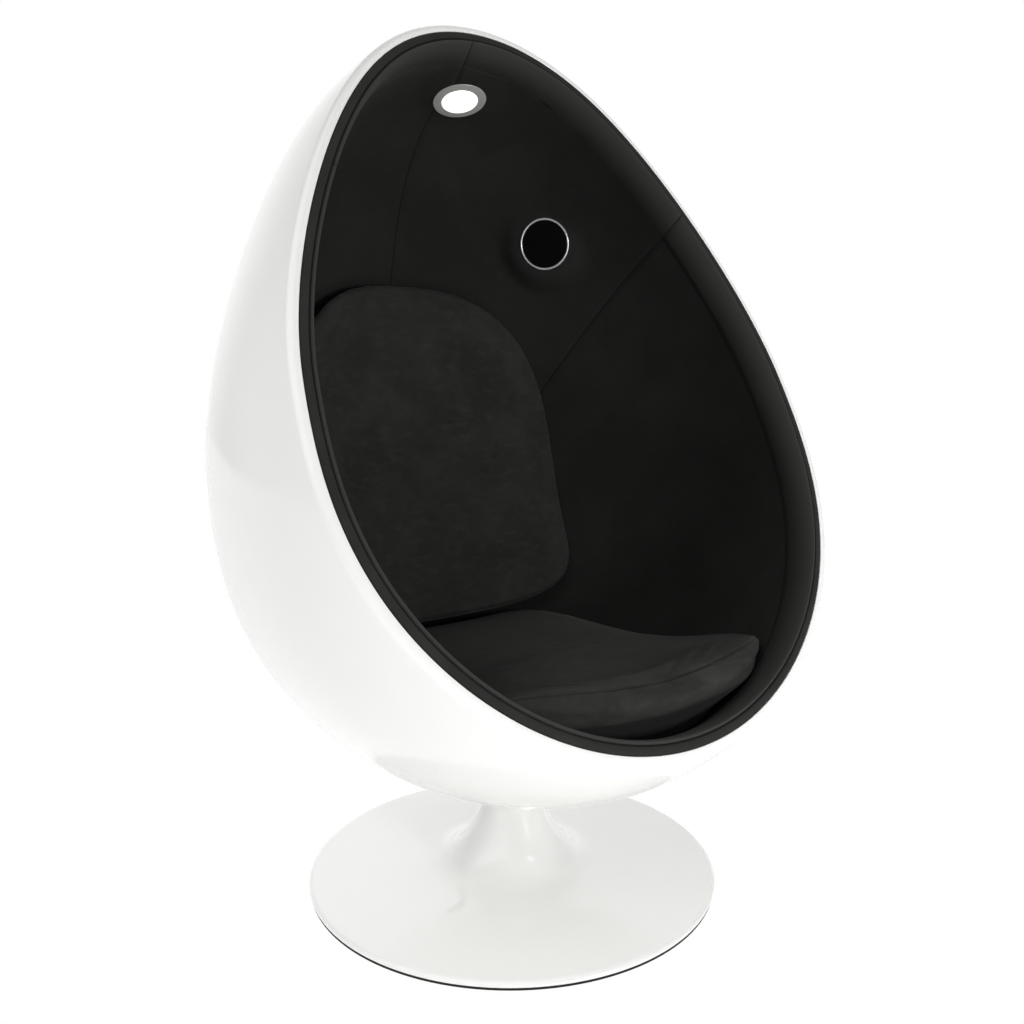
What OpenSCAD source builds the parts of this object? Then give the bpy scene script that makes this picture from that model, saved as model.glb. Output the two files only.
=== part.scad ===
// Pod chair: an egg-shaped shell that swivels on a trumpet foot, padded inside,
// with a seat cushion, a back cushion, a crown light and two speakers.
// Millimetres. +Z is up, the origin is on the floor under the swivel, and the chair faces -Y.
// The pod is drawn in the egg's own frame (+Z along its axis, slim end up) and then leant back.

/* [Egg shell] */
// Length of the shell along its own axis
egg_len = 1150; // [1050:5:1250]
// Widest diameter of the shell
egg_w = 928; // [860:2:980]
// Lean of the shell's axis behind the vertical, in degrees
egg_lean = 20.3; // [17:0.1:23]
// Distance of the egg's middle ahead of the swivel
egg_ahead = 24; // [10:1:35]
// Height of the shell's underside where the swivel meets it
underside_z = 182; // [172:1:200]
// Wall of the glass-fibre shell
shell_t = 6; // [4:0.5:8]
// Thickness of the shell's turned-in lip at the opening
lip_t = 11.5; // [9:0.5:13]
// Depth of the lip behind the opening plane
lip_deep = 12; // [8:1:16]

/* [Opening] */
// Distance of the opening plane in front of the egg's middle
opening_off = 159; // [130:1:180]
// Tilt of the opening plane behind the egg's axis, in degrees
opening_tilt = 5.9; // [3:0.1:9]

/* [Padding] */
// Foam between the shell and the lining
foam_t = 36.5; // [30:0.5:42]
// Lining fabric with its wadding
lining_t = 3; // [2:0.5:4]
// Width of the flat trim band inside the lip
band_w = 9; // [8:0.5:13]
// Diameter of the piping
piping_d = 2.4; // [2:0.2:4.4]
// Depth of the padded roll behind the opening plane
roll_deep = 50; // [40:1:60]
// Height of the roll's crown in front of the opening plane
roll_proud = 3; // [1:0.5:6]
// Reach of the roll's rounded shoulder
roll_round = 8; // [5:0.5:11]
// Turn of the side seam's plane about the egg's axis, in degrees
side_seam_turn = 15.6; // [10:0.1:20]
// Tilt of the side seam's plane, in degrees
side_seam_tilt = 42.2; // [36:0.1:48]
// Distance of the side seam's plane from the egg's middle
side_seam_off = 51; // [40:1:62]

/* [Seat cushion] */
// Height of the seat board's underside
board_z = 300; // [290:1:312]
// Thickness of the seat board
board_t = 18; // [15:1:21]
// Height of the seat cushion's front seam
seat_front_z = 416; // [402:1:424]
// Height of the seat cushion's edge at the sides
seat_side_z = 345; // [338:1:352]
// Height of the seat cushion's edge at the back
seat_back_z = 362; // [355:1:364]
// Height of the seat cushion's middle
seat_mid_z = 397; // [388:1:401]
// Height of the padded ridge behind the front seam
seat_ridge = 6; // [2:1:9]
// How far the front seam lies in front of the swivel
seat_front_y = 343; // [325:1:350]
// How far the nose stands out past the front seam, at the middle
nose_out = 37; // [25:1:42]
// How far the nose's edge drops below the front seam
nose_drop = 26; // [18:1:30]

/* [Back cushion] */
// Half of the back cushion's width
back_half_w = 265; // [240:1:275]
// Station of the back cushion's widest place along the egg's axis
back_wide_s = -40; // [-55:1:-25]
// Length of the back cushion above its widest place
back_up = 362; // [330:2:370]
// Height of the back cushion's foot over the seat cushion's edge, at the wall
back_clear = 9.9; // [8:0.1:25]
// Thickness of the back cushion at its seam
back_edge_t = 42; // [34:1:50]
// Extra thickness of the back cushion at its middle
back_crown = 40; // [25:1:50]

/* [Light] */
// Radius of the light's ring
light_r = 41.8; // [38:0.2:46]
// Radius of the light's diffuser
diffuser_r = 28.2; // [24:0.2:30]
// Height of the light's ring over its boss
light_h = 5; // [4:0.5:7]
// Depth of the light's can behind its ring
can_deep = 24; // [18:1:28]

/* [Speakers] */
// Radius of a speaker's bright ring
speaker_r = 43.6; // [38:0.2:48]
// Width of the bright ring
speaker_ring_w = 4; // [3:0.5:5]
// Depth of the speaker behind its face
speaker_deep = 40; // [34:1:42]
// Radius of the padded boss at the speaker's face
boss_r = 55; // [50:1:60]
// Radius of the padded boss at its foot
boss_foot_r = 80; // [70:1:90]

/* [Foot] */
// Radius of the foot at the floor
foot_r = 333; // [300:1:350]
// Height of the foot's rounded edge
edge_h = 12; // [8:1:16]
// Radius of the neck at its top
neck_r = 42; // [41:0.5:46]
// Height of the neck's top
neck_z = 130; // [126:1:132]
// Height that the foot's low dome adds at the neck
dome_h = 14; // [12:1:18]
// Wall of the foot
foot_t = 6; // [4:0.5:8]
// Thickness of the glide pad under the foot
glide_h = 3; // [2:0.5:5]
// Radius of the steel ballast plate
ballast_r = 205; // [180:5:215]
// Thickness of the ballast plate
ballast_t = 8; // [6:1:8]

/* [Swivel] */
// Radius of the swivel spindle
spindle_r = 20; // [16:0.5:21]
// Radial running clearance of the spindle in its bushes
running_gap = 0.05; // [0.03:0.01:0.09]
// Wall of a bush
bush_t = 4; // [3:0.5:5]
// Thickness of a bush's flange
bush_flange_t = 2.5; // [2:0.5:3]
// Wall of the steel post
post_t = 6; // [5:0.5:8]
// Radius of the spindle's flange
flange_r = 36; // [35:0.5:38]
// Thickness of the spindle's flange
flange_t = 8; // [6:0.5:9]
// Thickness of the thrust washer
washer_t = 2; // [1.5:0.5:3]
// Radius of the circle that the flange bolts lie on
bolt_circle_r = 27.5; // [27:0.5:28.5]
// Radius of a flange bolt
bolt_r = 3.5; // [3:0.5:3.5]

/* [Hidden] */
$fn = 64;

// Shares that shape the egg: how square each end is, and how the width tapers along the axis.
fat_end_share = 2.7;
slim_end_share = 1.91;
taper_shares = [0.324, 0.359, -0.266, -0.207];
// Shares that shape the trumpet's flare.
flare_reach_share = 1.42;
flare_fall_share = 17.8;

egg_steps = 44;
rim_rings = 72;
flare_steps = 32;
gap = 0.3;
over = 5;
big = 2400;
half_len = egg_len / 2;

// The egg

// Width of the egg as a share, at the station u from -1 (fat end) to 1 (slim end).
function egg_share(u) =
    let (power = u < 0 ? fat_end_share : slim_end_share,
         taper = 1 + u * (taper_shares[0] + u * (taper_shares[1] + u * (taper_shares[2] + u * taper_shares[3]))))
    sqrt(max(0, 1 - pow(abs(u), power))) / sqrt(taper);
egg_peak = max([for (i = [0:200]) egg_share(i / 100 - 1)]);

// Radius of the egg, drawn in by an inset, at the distance s along the axis from the middle.
function egg_r(s, inset = 0) =
    let (u = s / (half_len - inset))
    abs(u) >= 1 ? 0 : (egg_w / 2 - inset) / egg_peak * egg_share(u);

// Slope of the egg's radius along its axis.
slope_step = 1;
function egg_slope(s, inset = 0) =
    (egg_r(s + slope_step, inset) - egg_r(s - slope_step, inset)) / (2 * slope_step);

module egg(inset = 0) {
    rotate_extrude()
        polygon([for (i = [0:egg_steps])
            let (s = -cos(180 * i / egg_steps) * (half_len - inset))
            [egg_r(s, inset), s]]);
}

// Turns a point of the chair's frame, taken from the egg's middle, into the egg's own frame.
function lean(p) = [p[0], p[1] * cos(egg_lean) - p[2] * sin(egg_lean), p[1] * sin(egg_lean) + p[2] * cos(egg_lean)];
function unlean(p) = [p[0], p[1] * cos(egg_lean) + p[2] * sin(egg_lean), -p[1] * sin(egg_lean) + p[2] * cos(egg_lean)];

// How far a point lies inside the drawn-in egg, measured from the axis. Negative is outside.
function inside_by(p, inset) = let (q = lean(p)) egg_r(q[2], inset) - norm([q[0], q[1]]);

// Distance from point a (inside) toward point b (outside) at which the drawn-in egg is met, by halving.
function reach(a, dir, inset, lo, hi, n = 24) =
    n == 0 ? (lo + hi) / 2
    : inside_by(a + dir * (lo + hi) / 2, inset) > 0
        ? reach(a, dir, inset, (lo + hi) / 2, hi, n - 1)
        : reach(a, dir, inset, lo, (lo + hi) / 2, n - 1);

// The egg's middle stands so that the underside lies at its height on the swivel line.
egg_y = -egg_ahead;
egg_z = underside_z + reach([0, -egg_y, 0], [0, 0, -1], 0, 0, egg_len);
egg_mid = [0, egg_y, egg_z];

module in_pod() {
    translate(egg_mid)
        rotate([-egg_lean, 0, 0])
            children();
}

// The part of the egg's frame that lies behind the opening plane by at least the given depth.
module behind_opening(depth = 0) {
    rotate([-opening_tilt, 0, 0])
        translate([-big / 2, depth - opening_off, -big / 2])
            cube(big);
}

// A wall between two insets of the egg.
module egg_layer(outer, inner) {
    difference() {
        egg(outer);
        egg(inner);
    }
}

// Insets, from the outer skin inward
foam_in = shell_t + gap;
lining_in = shell_t + foam_t + gap;
room_in = lining_in + lining_t;
band_in = lip_t + 2 * gap;
piping_in = band_in + band_w + piping_d / 2 + gap;
roll_in = piping_in + piping_d / 2 + gap;
roll_end_in = room_in + 1.2;

board_top = board_z + board_t;

// The rim's rings
// A point of the opening curve: a turns once round it, inset is the egg's, depth is behind the plane.
function rim_s(t, depth) = (opening_off - depth) * sin(opening_tilt) + t * cos(opening_tilt);
function rim_f(t, depth) = (opening_off - depth) * cos(opening_tilt) - t * sin(opening_tilt);
function rim_in(t, inset, depth) = egg_r(rim_s(t, depth), inset) > abs(rim_f(t, depth));
function rim_end(inset, depth, lo, hi, n = 26) =
    n == 0 ? lo
    : rim_in((lo + hi) / 2, inset, depth)
        ? rim_end(inset, depth, (lo + hi) / 2, hi, n - 1)
        : rim_end(inset, depth, lo, (lo + hi) / 2, n - 1);
function rim_ring(inset, depth) =
    let (top = rim_end(inset, depth, 0, half_len),
         foot = rim_end(inset, depth, 0, -half_len))
    [for (i = [0:rim_rings - 1])
        let (a = 360 * i / rim_rings,
             t = (top + foot) / 2 - (top - foot) / 2 * cos(a),
             f = rim_f(t, depth),
             r = egg_r(rim_s(t, depth), inset),
             x = sqrt(max(0, r * r - f * f)) * sign(sin(a)))
        [abs(sin(a)) < 0.0001 ? 0 : x, -f, rim_s(t, depth)]];

// Faces of a closed tube: `count` rings of `sides` points, joined end to end.
function tube_faces(count, sides) =
    [for (i = [0:count - 1], k = [0:sides - 1])
        let (a = i * sides + k,
             b = i * sides + (k + 1) % sides,
             c = ((i + 1) % count) * sides + (k + 1) % sides,
             d = ((i + 1) % count) * sides + k)
        each [[a, b, c], [a, c, d]]];

// Sweeps a section of [inset, depth] points round the opening.
module round_the_rim(section) {
    rings = [for (p = section) rim_ring(p[0], p[1])];
    sides = len(section);
    polyhedron(
        points = [for (i = [0:rim_rings - 1], k = [0:sides - 1]) rings[k][i]],
        faces = tube_faces(rim_rings, sides));
}

// The foot

function flare_point(q) =
    let (t = q * q,
         neck = (neck_z - edge_h - dome_h) * pow(max(0, 1 - pow(t, flare_reach_share)), flare_fall_share),
         z = edge_h + dome_h * (1 - t * t) + neck)
    [neck_r + (foot_r - neck_r) * t, z];
function flare_inner(q, inset) =
    let (step = 0.004,
         a = flare_point(max(0, q - step)),
         b = flare_point(min(1, q + step)),
         d = (b - a) / norm(b - a))
    flare_point(q) + inset * [d[1], -d[0]];

// The neck's top is a ledge that rests on the post's flange.
ledge_t = 6;
ledge_z = neck_z - ledge_t;
// Width of the foot's edge on its glide pad, and how far the pad keeps inside it.
foot_edge_w = 17;
glide_margin = 2;
ballast_lift = 3;
post_bore_r = spindle_r + running_gap + bush_t;
post_r = post_bore_r + post_t;
post_flange_w = 8;
post_flange_r = post_r + post_flange_w;
post_base_z = glide_h + ballast_lift + ballast_t;
// Height of the shell's underside over the bottom face of the spindle's flange.
flange_drop = 45;
spindle_flange_z = underside_z - flange_drop;
post_top_z = spindle_flange_z - washer_t - bush_flange_t;

// The space under the foot's skin, down to the floor edge.
module under_flare(inset) {
    rotate_extrude()
        polygon(concat(
            [[0, glide_h]],
            [[foot_r - foot_edge_w, glide_h]],
            [for (i = [flare_steps:-1:1])
                let (p = flare_inner(i / flare_steps, inset))
                if (p[0] < foot_r - foot_edge_w && p[1] < ledge_z - gap) p],
            [[neck_r - inset / 2, ledge_z], [0, ledge_z]]));
}

screw_count = 6;
foot_boss_r = 12;
boss_circle_share = 0.72;
boss_circle_r = ballast_r * boss_circle_share;
foot_screw_r = 3;
foot_screw_len = 14;
foot_screw_head_h = 1.8;
head_share = 1.8;

module base_trumpet() {
    color("white")
        difference() {
            union() {
                difference() {
                    rotate_extrude($fn = 128)
                        polygon(concat(
                            [[0, neck_z]],
                            [for (i = [0:flare_steps]) flare_point(i / flare_steps)],
                            [[foot_r, glide_h], [0, glide_h]]));
                    under_flare(foot_t);
                }
                intersection() {
                    for (i = [0:screw_count - 1])
                        rotate(360 * i / screw_count)
                            translate([boss_circle_r, 0, post_base_z])
                                cylinder(r = foot_boss_r, h = neck_z);
                    under_flare(foot_t / 2);
                }
            }
            cylinder(r = post_r + gap, h = neck_z + over);
            for (i = [0:screw_count - 1])
                rotate(360 * i / screw_count)
                    translate([boss_circle_r, 0, 0])
                        cylinder(r = foot_screw_r, h = post_base_z + foot_screw_len - ballast_t);
        }
}

module base_glide() {
    color("black")
        cylinder(r = foot_r - glide_margin, h = glide_h, $fn = 128);
}

module ballast_plate() {
    color("dimgray")
        difference() {
            translate([0, 0, post_base_z - ballast_t])
                cylinder(r = ballast_r, h = ballast_t, $fn = 128);
            cylinder(r = step_r, h = post_base_z + over);
            for (i = [0:screw_count - 1])
                rotate(360 * i / screw_count)
                    translate([boss_circle_r, 0, 0])
                        cylinder(r = foot_screw_r, h = post_base_z + over);
        }
}

// A screw whose head's face lies at z = 0 and whose shank goes up.
module screw(shank_r, len, head_r, head_h) {
    union() {
        translate([0, 0, -head_h])
            cylinder(r = head_r, h = head_h);
        cylinder(r = shank_r, h = len);
    }
}

module ballast_screws() {
    color("silver")
        for (i = [0:screw_count - 1])
            rotate(360 * i / screw_count)
                translate([boss_circle_r, 0, post_base_z - ballast_t])
                    screw(foot_screw_r, foot_screw_len, foot_screw_r * head_share, foot_screw_head_h);
}

lower_bush_len = 30;
upper_bush_len = 40;
bush_flange_w = 3.5;
// The wider bore at the post's foot, where the lower bush's flange and the retaining washer go.
step_r = post_bore_r + bush_flange_w + 2 * gap;
step_deep = 15;
step_z = post_base_z + step_deep;

module post_tube() {
    color("gray")
        difference() {
            union() {
                translate([0, 0, post_base_z])
                    cylinder(r = post_r, h = post_top_z - post_base_z);
                translate([0, 0, ledge_z - ledge_t])
                    cylinder(r = post_flange_r, h = ledge_t);
            }
            cylinder(r = post_bore_r, h = post_top_z + over);
            cylinder(r = step_r, h = step_z);
        }
}

// A flanged bush with its flange's outer face at z = 0 and its sleeve going down.
module bush(len) {
    difference() {
        union() {
            translate([0, 0, -bush_flange_t])
                cylinder(r = post_bore_r + bush_flange_w, h = bush_flange_t);
            translate([0, 0, -bush_flange_t - len])
                cylinder(r = post_bore_r, h = len + bush_flange_t / 2);
        }
        translate([0, 0, -len - over])
            cylinder(r = spindle_r + running_gap, h = len + 2 * over);
    }
}

module upper_bush() {
    color("ivory")
        translate([0, 0, post_top_z + bush_flange_t])
            bush(upper_bush_len);
}

module lower_bush() {
    color("ivory")
        translate([0, 0, step_z - bush_flange_t])
            mirror([0, 0, 1])
                bush(lower_bush_len);
}

module thrust_washer() {
    color("goldenrod")
        difference() {
            translate([0, 0, spindle_flange_z - washer_t])
                cylinder(r = post_bore_r + bush_flange_w, h = washer_t - running_gap);
            cylinder(r = spindle_r + gap, h = spindle_flange_z);
        }
}

// The swivel's moving half

retaining_play = 0.5;
retaining_washer_t = 3;
retaining_screw_r = 4;
retaining_screw_len = 20;
retaining_head_r = 7;
retaining_head_h = 5;
spindle_end_z = step_z - bush_flange_t - retaining_play;
// The round plate inside the shell, a little forward of the swivel where the shell is lowest.
plate_r = 78;
plate_y = -22;
plate_t = 6;
// The shell's floor under the plate's rim, and the wedge's least thickness there.
function floor_z(x, y) = egg_z - reach([x, y - egg_y, 0], [0, 0, -1], shell_t, 0, egg_len);
plate_clear = 6.2;
plate_z = floor_z(0, plate_y + plate_r) + plate_clear;
bolt_count = 4;
bolt_head_h = 5;
bolt_head_r = bolt_r * 1.6;
head_gap = 0.2;

nut_h = 6.5;
nut_share = 1.85;
bolt_end = 3;
bolt_top_z = plate_z + plate_t + nut_h + bolt_end;

module at_bolts() {
    for (i = [0:bolt_count - 1])
        rotate(45 + 360 * i / bolt_count)
            translate([bolt_circle_r, 0, 0])
                children();
}

module bolt_holes() {
    at_bolts()
        cylinder(r = bolt_r, h = bolt_top_z);
}

module spindle() {
    color("silver")
        difference() {
            union() {
                translate([0, 0, spindle_end_z])
                    cylinder(r = spindle_r, h = spindle_flange_z - spindle_end_z + flange_t / 2);
                translate([0, 0, spindle_flange_z])
                    cylinder(r = flange_r, h = flange_t);
            }
            bolt_holes();
            at_bolts()
                translate([0, 0, spindle_flange_z - over])
                    cylinder(r = bolt_head_r + head_gap, h = bolt_head_h + over + head_gap);
            cylinder(r = retaining_screw_r, h = spindle_end_z + retaining_screw_len);
        }
}

module retaining_washer() {
    color("silver")
        difference() {
            translate([0, 0, spindle_end_z - retaining_washer_t])
                cylinder(r = post_bore_r + bush_flange_w / 2, h = retaining_washer_t);
            cylinder(r = retaining_screw_r, h = spindle_flange_z);
        }
}

module retaining_screw() {
    color("dimgray")
        translate([0, 0, spindle_end_z - retaining_washer_t])
            screw(retaining_screw_r, retaining_screw_len, retaining_head_r, retaining_head_h);
}

// The hub's gap over the foot, its play round the flange and its wall.
hub_gap = 3;
hub_play = 1;
hub_wall = 7;
hub_z = neck_z + hub_gap;

module swivel_hub() {
    color("white")
        difference() {
            translate([0, 0, hub_z])
                cylinder(r = flange_r + hub_play + hub_wall, h = plate_z - hub_z);
            translate([0, 0, hub_z - over])
                cylinder(r = flange_r + hub_play, h = spindle_flange_z + flange_t - hub_z + over);
            in_pod() egg(-gap / 3);
            bolt_holes();
        }
}

module flange_bolts() {
    color("dimgray")
        at_bolts()
            translate([0, 0, spindle_flange_z + bolt_head_h])
                screw(bolt_r, bolt_top_z - spindle_flange_z - bolt_head_h, bolt_head_r, bolt_head_h);
}

// The shell

// The power inlet in the shell's underside at the back: its station, neck and flange.
inlet_share = 0.661;
inlet_s = -inlet_share * half_len;
inlet_r = 15;
inlet_flange_w = 5;
inlet_flange_h = 3;
inlet_stand = 0.6;
inlet_len = 16;
socket_r = 5;
socket_deep = 10;

// Stands on the egg's skin at the back, with +Z pointing out of the pod.
module at_inlet() {
    translate([0, egg_r(inlet_s), inlet_s])
        rotate([-90 - atan(egg_slope(inlet_s)), 0, 0])
            children();
}

module outer_shell() {
    color("white")
        difference() {
            in_pod()
                difference() {
                    intersection() {
                        egg();
                        behind_opening(0);
                    }
                    intersection() {
                        egg(shell_t);
                        behind_opening(lip_deep);
                    }
                    egg(lip_t);
                    at_inlet()
                        translate([0, 0, -shell_t * 2])
                            cylinder(r = inlet_r, h = shell_t * 4);
                }
            bolt_holes();
        }
}

module power_inlet() {
    color("black")
        in_pod()
            at_inlet()
                difference() {
                    union() {
                        translate([0, 0, inlet_stand])
                            cylinder(r = inlet_r + inlet_flange_w, h = inlet_flange_h);
                        translate([0, 0, -inlet_len])
                            cylinder(r = inlet_r - gap, h = inlet_len + inlet_stand + inlet_flange_h / 2);
                    }
                    translate([0, 0, -socket_deep])
                        cylinder(r = socket_r, h = 2 * socket_deep);
                }
}

module inner_wedge() {
    color("burlywood")
        difference() {
            intersection() {
                translate([0, plate_y, spindle_flange_z])
                    cylinder(r = plate_r, h = plate_z - spindle_flange_z);
                in_pod() egg(shell_t + gap / 3);
            }
            bolt_holes();
        }
}

module mount_plate() {
    color("gray")
        difference() {
            translate([0, plate_y, plate_z])
                cylinder(r = plate_r, h = plate_t);
            bolt_holes();
        }
}

module flange_nuts() {
    color("silver")
        at_bolts()
            difference() {
                translate([0, 0, plate_z + plate_t])
                    cylinder(r = bolt_r * nut_share, h = nut_h, $fn = 6);
                cylinder(r = bolt_r, h = bolt_top_z + over);
            }
}

pillar_r = 12;
pillar_place = 43;
pillar_foot_z = plate_z + plate_t;
board_screw_r = 3;
board_screw_len = 30;
board_head_r = 6;
board_head_h = 3.5;

module at_pillars() {
    for (sx = [-1, 1], sy = [-1, 1])
        translate([sx * pillar_place, plate_y + sy * pillar_place, 0])
            children();
}

module seat_pillars() {
    color("gray")
        at_pillars()
            difference() {
                translate([0, 0, pillar_foot_z])
                    cylinder(r = pillar_r, h = board_z - pillar_foot_z);
                translate([0, 0, board_top - board_head_h - board_screw_len])
                    cylinder(r = board_screw_r, h = board_screw_len);
            }
}

module seat_board() {
    color("burlywood")
        difference() {
            intersection() {
                translate([-big / 2, -big / 2, board_z])
                    cube([big, big, board_t]);
                in_pod()
                    intersection() {
                        egg(foam_in);
                        behind_opening(roll_deep + gap);
                    }
            }
            at_pillars() {
                translate([0, 0, board_z - over])
                    cylinder(r = board_screw_r, h = board_t + 2 * over);
                translate([0, 0, board_top - board_head_h])
                    cylinder(r = board_head_r + gap, h = 2 * over);
            }
        }
}

module board_screws() {
    color("silver")
        at_pillars()
            translate([0, 0, board_top - board_head_h])
                mirror([0, 0, 1])
                    screw(board_screw_r, board_screw_len, board_head_r, board_head_h);
}

box_w = 150;
box_d = 96;
box_h = 42;
box_y = -170;

module control_box() {
    color("black")
        translate([-box_w / 2, box_y - box_d / 2, board_z - box_h])
            cube([box_w, box_d, box_h]);
}

// The padding

// The room above the seat board, where the padding is.
module above_board() {
    translate([-big / 2, -big / 2, board_top + gap])
        cube(big);
}

// Half of the pod on one side of the middle seam: side is 1 for +X and -1 for -X.
module half_pod(side) {
    translate([side > 0 ? 0 : -big, -big / 2, -big / 2])
        cube(big);
}

// What lies outside the side seam's plane, on one side of the pod.
module past_side_seam(side) {
    mirror([side > 0 ? 0 : 1, 0, 0])
        rotate([0, 0, -side_seam_turn])
            rotate([0, side_seam_tilt, 0])
                translate([side_seam_off, -big / 2, -big / 2])
                    cube(big);
}

module lining_skin() {
    intersection() {
        egg_layer(lining_in, room_in);
        behind_opening(roll_deep + gap);
    }
}

module foam_skin() {
    intersection() {
        egg_layer(foam_in, lining_in);
        behind_opening(roll_deep + gap);
    }
}

// The panel between the middle seam and the side seam, cut from a skin.
module back_panel(side) {
    intersection() {
        above_board();
        in_pod()
            difference() {
                intersection() {
                    children();
                    half_pod(side);
                }
                past_side_seam(side);
            }
    }
}

// The panel past the side seam, cut from a skin.
module side_panel(side) {
    intersection() {
        above_board();
        in_pod()
            intersection() {
                children();
                half_pod(side);
                past_side_seam(side);
            }
    }
}

module foam_back(side) {
    color("darkkhaki")
        difference() {
            back_panel(side)
                foam_skin();
            at_speaker(side)
                speaker_bore();
            at_light()
                light_bore();
        }
}

module foam_side(side) {
    color("khaki")
        side_panel(side)
            foam_skin();
}

module foam_back_left() foam_back(1);
module foam_back_right() foam_back(-1);
module foam_side_left() foam_side(1);
module foam_side_right() foam_side(-1);

module lining_back(side) {
    color("#2a2a29")
    difference() {
        union() {
            back_panel(side)
                lining_skin();
            intersection() {
                at_speaker(side)
                    translate([0, 0, -2 * speaker_rise])
                        cylinder(r1 = 2 * boss_foot_r - boss_r, r2 = boss_r, h = 2 * speaker_rise);
                in_pod() egg(lining_in);
            }
            intersection() {
                at_light()
                    light_boss();
                in_pod()
                    intersection() {
                        egg(lining_in);
                        half_pod(side);
                    }
            }
        }
        at_speaker(side)
            speaker_bore();
        at_light()
            light_bore();
    }
}

module lining_side(side) {
    color("#2a2a29")
        side_panel(side)
            lining_skin();
}

module lining_back_left() lining_back(1);
module lining_back_right() lining_back(-1);
module lining_side_left() lining_side(1);
module lining_side_right() lining_side(-1);

// The trim round the opening

band_proud = 1.5;
band_deep = 9;

module rim_band() {
    color("#303030")
        in_pod()
            round_the_rim([
                [band_in, 0], [band_in + band_proud, -band_proud], [band_in + band_w - band_proud, -band_proud],
                [band_in + band_w, 0], [band_in + band_w, band_deep], [band_in, band_deep]]);
}

module rim_piping() {
    color("#1c1c1c")
        in_pod()
            round_the_rim([for (k = [0:5])
                [piping_in - piping_d / 2 * cos(60 * k), -piping_d / 2 * sin(60 * k)]]);
}

module rim_roll() {
    color("#2e2e2d")
        in_pod()
            round_the_rim(concat(
                [for (k = [0:6])
                    let (t = k / 6)
                    [roll_in + 2 * t * (1 - t) * roll_round + t * t * (roll_end_in - roll_in),
                     -roll_proud + t * t * (roll_deep + roll_proud)]],
                [[foam_in + gap, roll_deep], [foam_in + gap, lip_deep + gap], [band_in + gap, lip_deep + gap],
                 [roll_in, lip_deep + gap]]));
}

// The seat cushion

seat_sides = 60;
seat_angles = [for (i = [0:seat_sides - 1]) 360 * i / seat_sides];
seat_mid_y = -80;
seat_gap = 0.6;
// How far the cushion's foot and its nose stand ahead of the front seam's line.
foot_ahead = 6;
nose_ahead = 2;
// How squarely the sides meet the front at the seam, the nose and the foot.
corner_share = 7;
nose_corner_share = 9;
foot_corner_share = 30;
// How fast the crown falls to the edge, and where the ridge starts.
crown_fall_share = 3;
ridge_start_share = 0.8;
ridge_reach_share = 1.6;
// The edge's height from the front round to the sides and the back, by direction: a share of the way from the
// sides' height to the front's, and then of the way from the sides' height to the back's.
front_edge_shares = [[0, 0.92], [21, 1.01], [30, 1.09], [40, 1.16], [47, 1.14], [56, 0.96], [62, 0.86], [70, 0.72],
    [84, 0.28], [100, 0]];
back_edge_shares = [[100, 0], [118, 0.5], [131, 1.4], [141, 1.9], [150, 2], [160, 1.5], [170, 1.1], [180, 1]];

// Height of the cushion's edge in the plan direction a, from the front (0) by the sides to the back (180).
function seat_edge_z(a) =
    let (b = a > 180 ? 360 - a : a)
    seat_side_z + (seat_front_z - seat_side_z) * lookup(b, front_edge_shares)
        + (seat_back_z - seat_side_z) * lookup(b, back_edge_shares);

// Plan distance from the cushion's middle to its edge at height z, held in by the lining and a front line.
function seat_reach(a, z, front_y, corner) =
    let (mid = [0, seat_mid_y, z],
         dir = [sin(a), -cos(a), 0],
         wall = reach(mid - egg_mid, dir, room_in, 0, egg_len) - seat_gap,
         front = cos(a) > 0.02 ? (front_y + seat_mid_y) / cos(a) : egg_len)
    pow(pow(wall / front, -corner) + 1, -1 / corner) * front;

// The nose bulges most at the middle of the front and dies out toward the corners.
nose_curve_share = 0.7;
function nose_share(a) = pow(max(0, cos(min(90, 2 * (a > 180 ? 360 - a : a)))), nose_curve_share);

// A ring of the cushion at the given heights, behind a front line and drawn in by a share.
function seat_ring(heights, front_y, bulge, draw_share, corner) =
    [for (i = [0:seat_sides - 1])
        let (a = seat_angles[i],
             r = seat_reach(a, heights[i], front_y + bulge * nose_share(a), corner) * draw_share)
        [r * sin(a), seat_mid_y - r * cos(a), heights[i]]];

// The crown dips from the edge to the middle, with a ridge behind the front seam.
function seat_crown_z(a, q) =
    seat_mid_z + (seat_edge_z(a) - seat_mid_z) * pow(q, crown_fall_share)
        + seat_ridge * min(1, max(0, ridge_reach_share * cos(a))) * sin(180 * max(0, (q - ridge_start_share) / (1 - ridge_start_share)));
seat_foot_z = board_top + gap;

// Side rings, from the underside up: the height as [a share of the edge's height over the foot, how far below],
// the front line, the nose's bulge, the draw-in and the corner.
nose_fall_shares = [1.5, 1, 0.55, 0.2];
nose_out_shares = [0.85, 1, 0.55];
function seat_heights(row) =
    [for (a = seat_angles)
        seat_foot_z + max(row[0] * (seat_edge_z(a) - seat_foot_z), (seat_edge_z(a) - seat_foot_z) * row[1] - row[2])];
seat_foot_y = seat_front_y + foot_ahead;
seat_nose_y = seat_front_y + nose_ahead;
seat_side_shares = [
    [0, 0, 0, seat_foot_y, 0, 0.985, foot_corner_share],
    [0.08, 0, 0, seat_foot_y, 0, 1, foot_corner_share],
    [0.3, 1, nose_drop * nose_fall_shares[0], seat_foot_y, 0, 0.995, foot_corner_share],
    [0.42, 1, nose_drop * nose_fall_shares[1], seat_nose_y, nose_out * nose_out_shares[0], 1, nose_corner_share],
    [0.62, 1, nose_drop * nose_fall_shares[2], seat_nose_y, nose_out * nose_out_shares[1], 1, nose_corner_share],
    [0.82, 1, nose_drop * nose_fall_shares[3], seat_front_y, nose_out * nose_out_shares[2], 1, corner_share],
    [1, 1, 0, seat_front_y, 0, 0.985, corner_share]];
// Crown rings: how far out each lies.
seat_crown_shares = [0.945, 0.88, 0.75, 0.55, 0.3];

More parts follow.
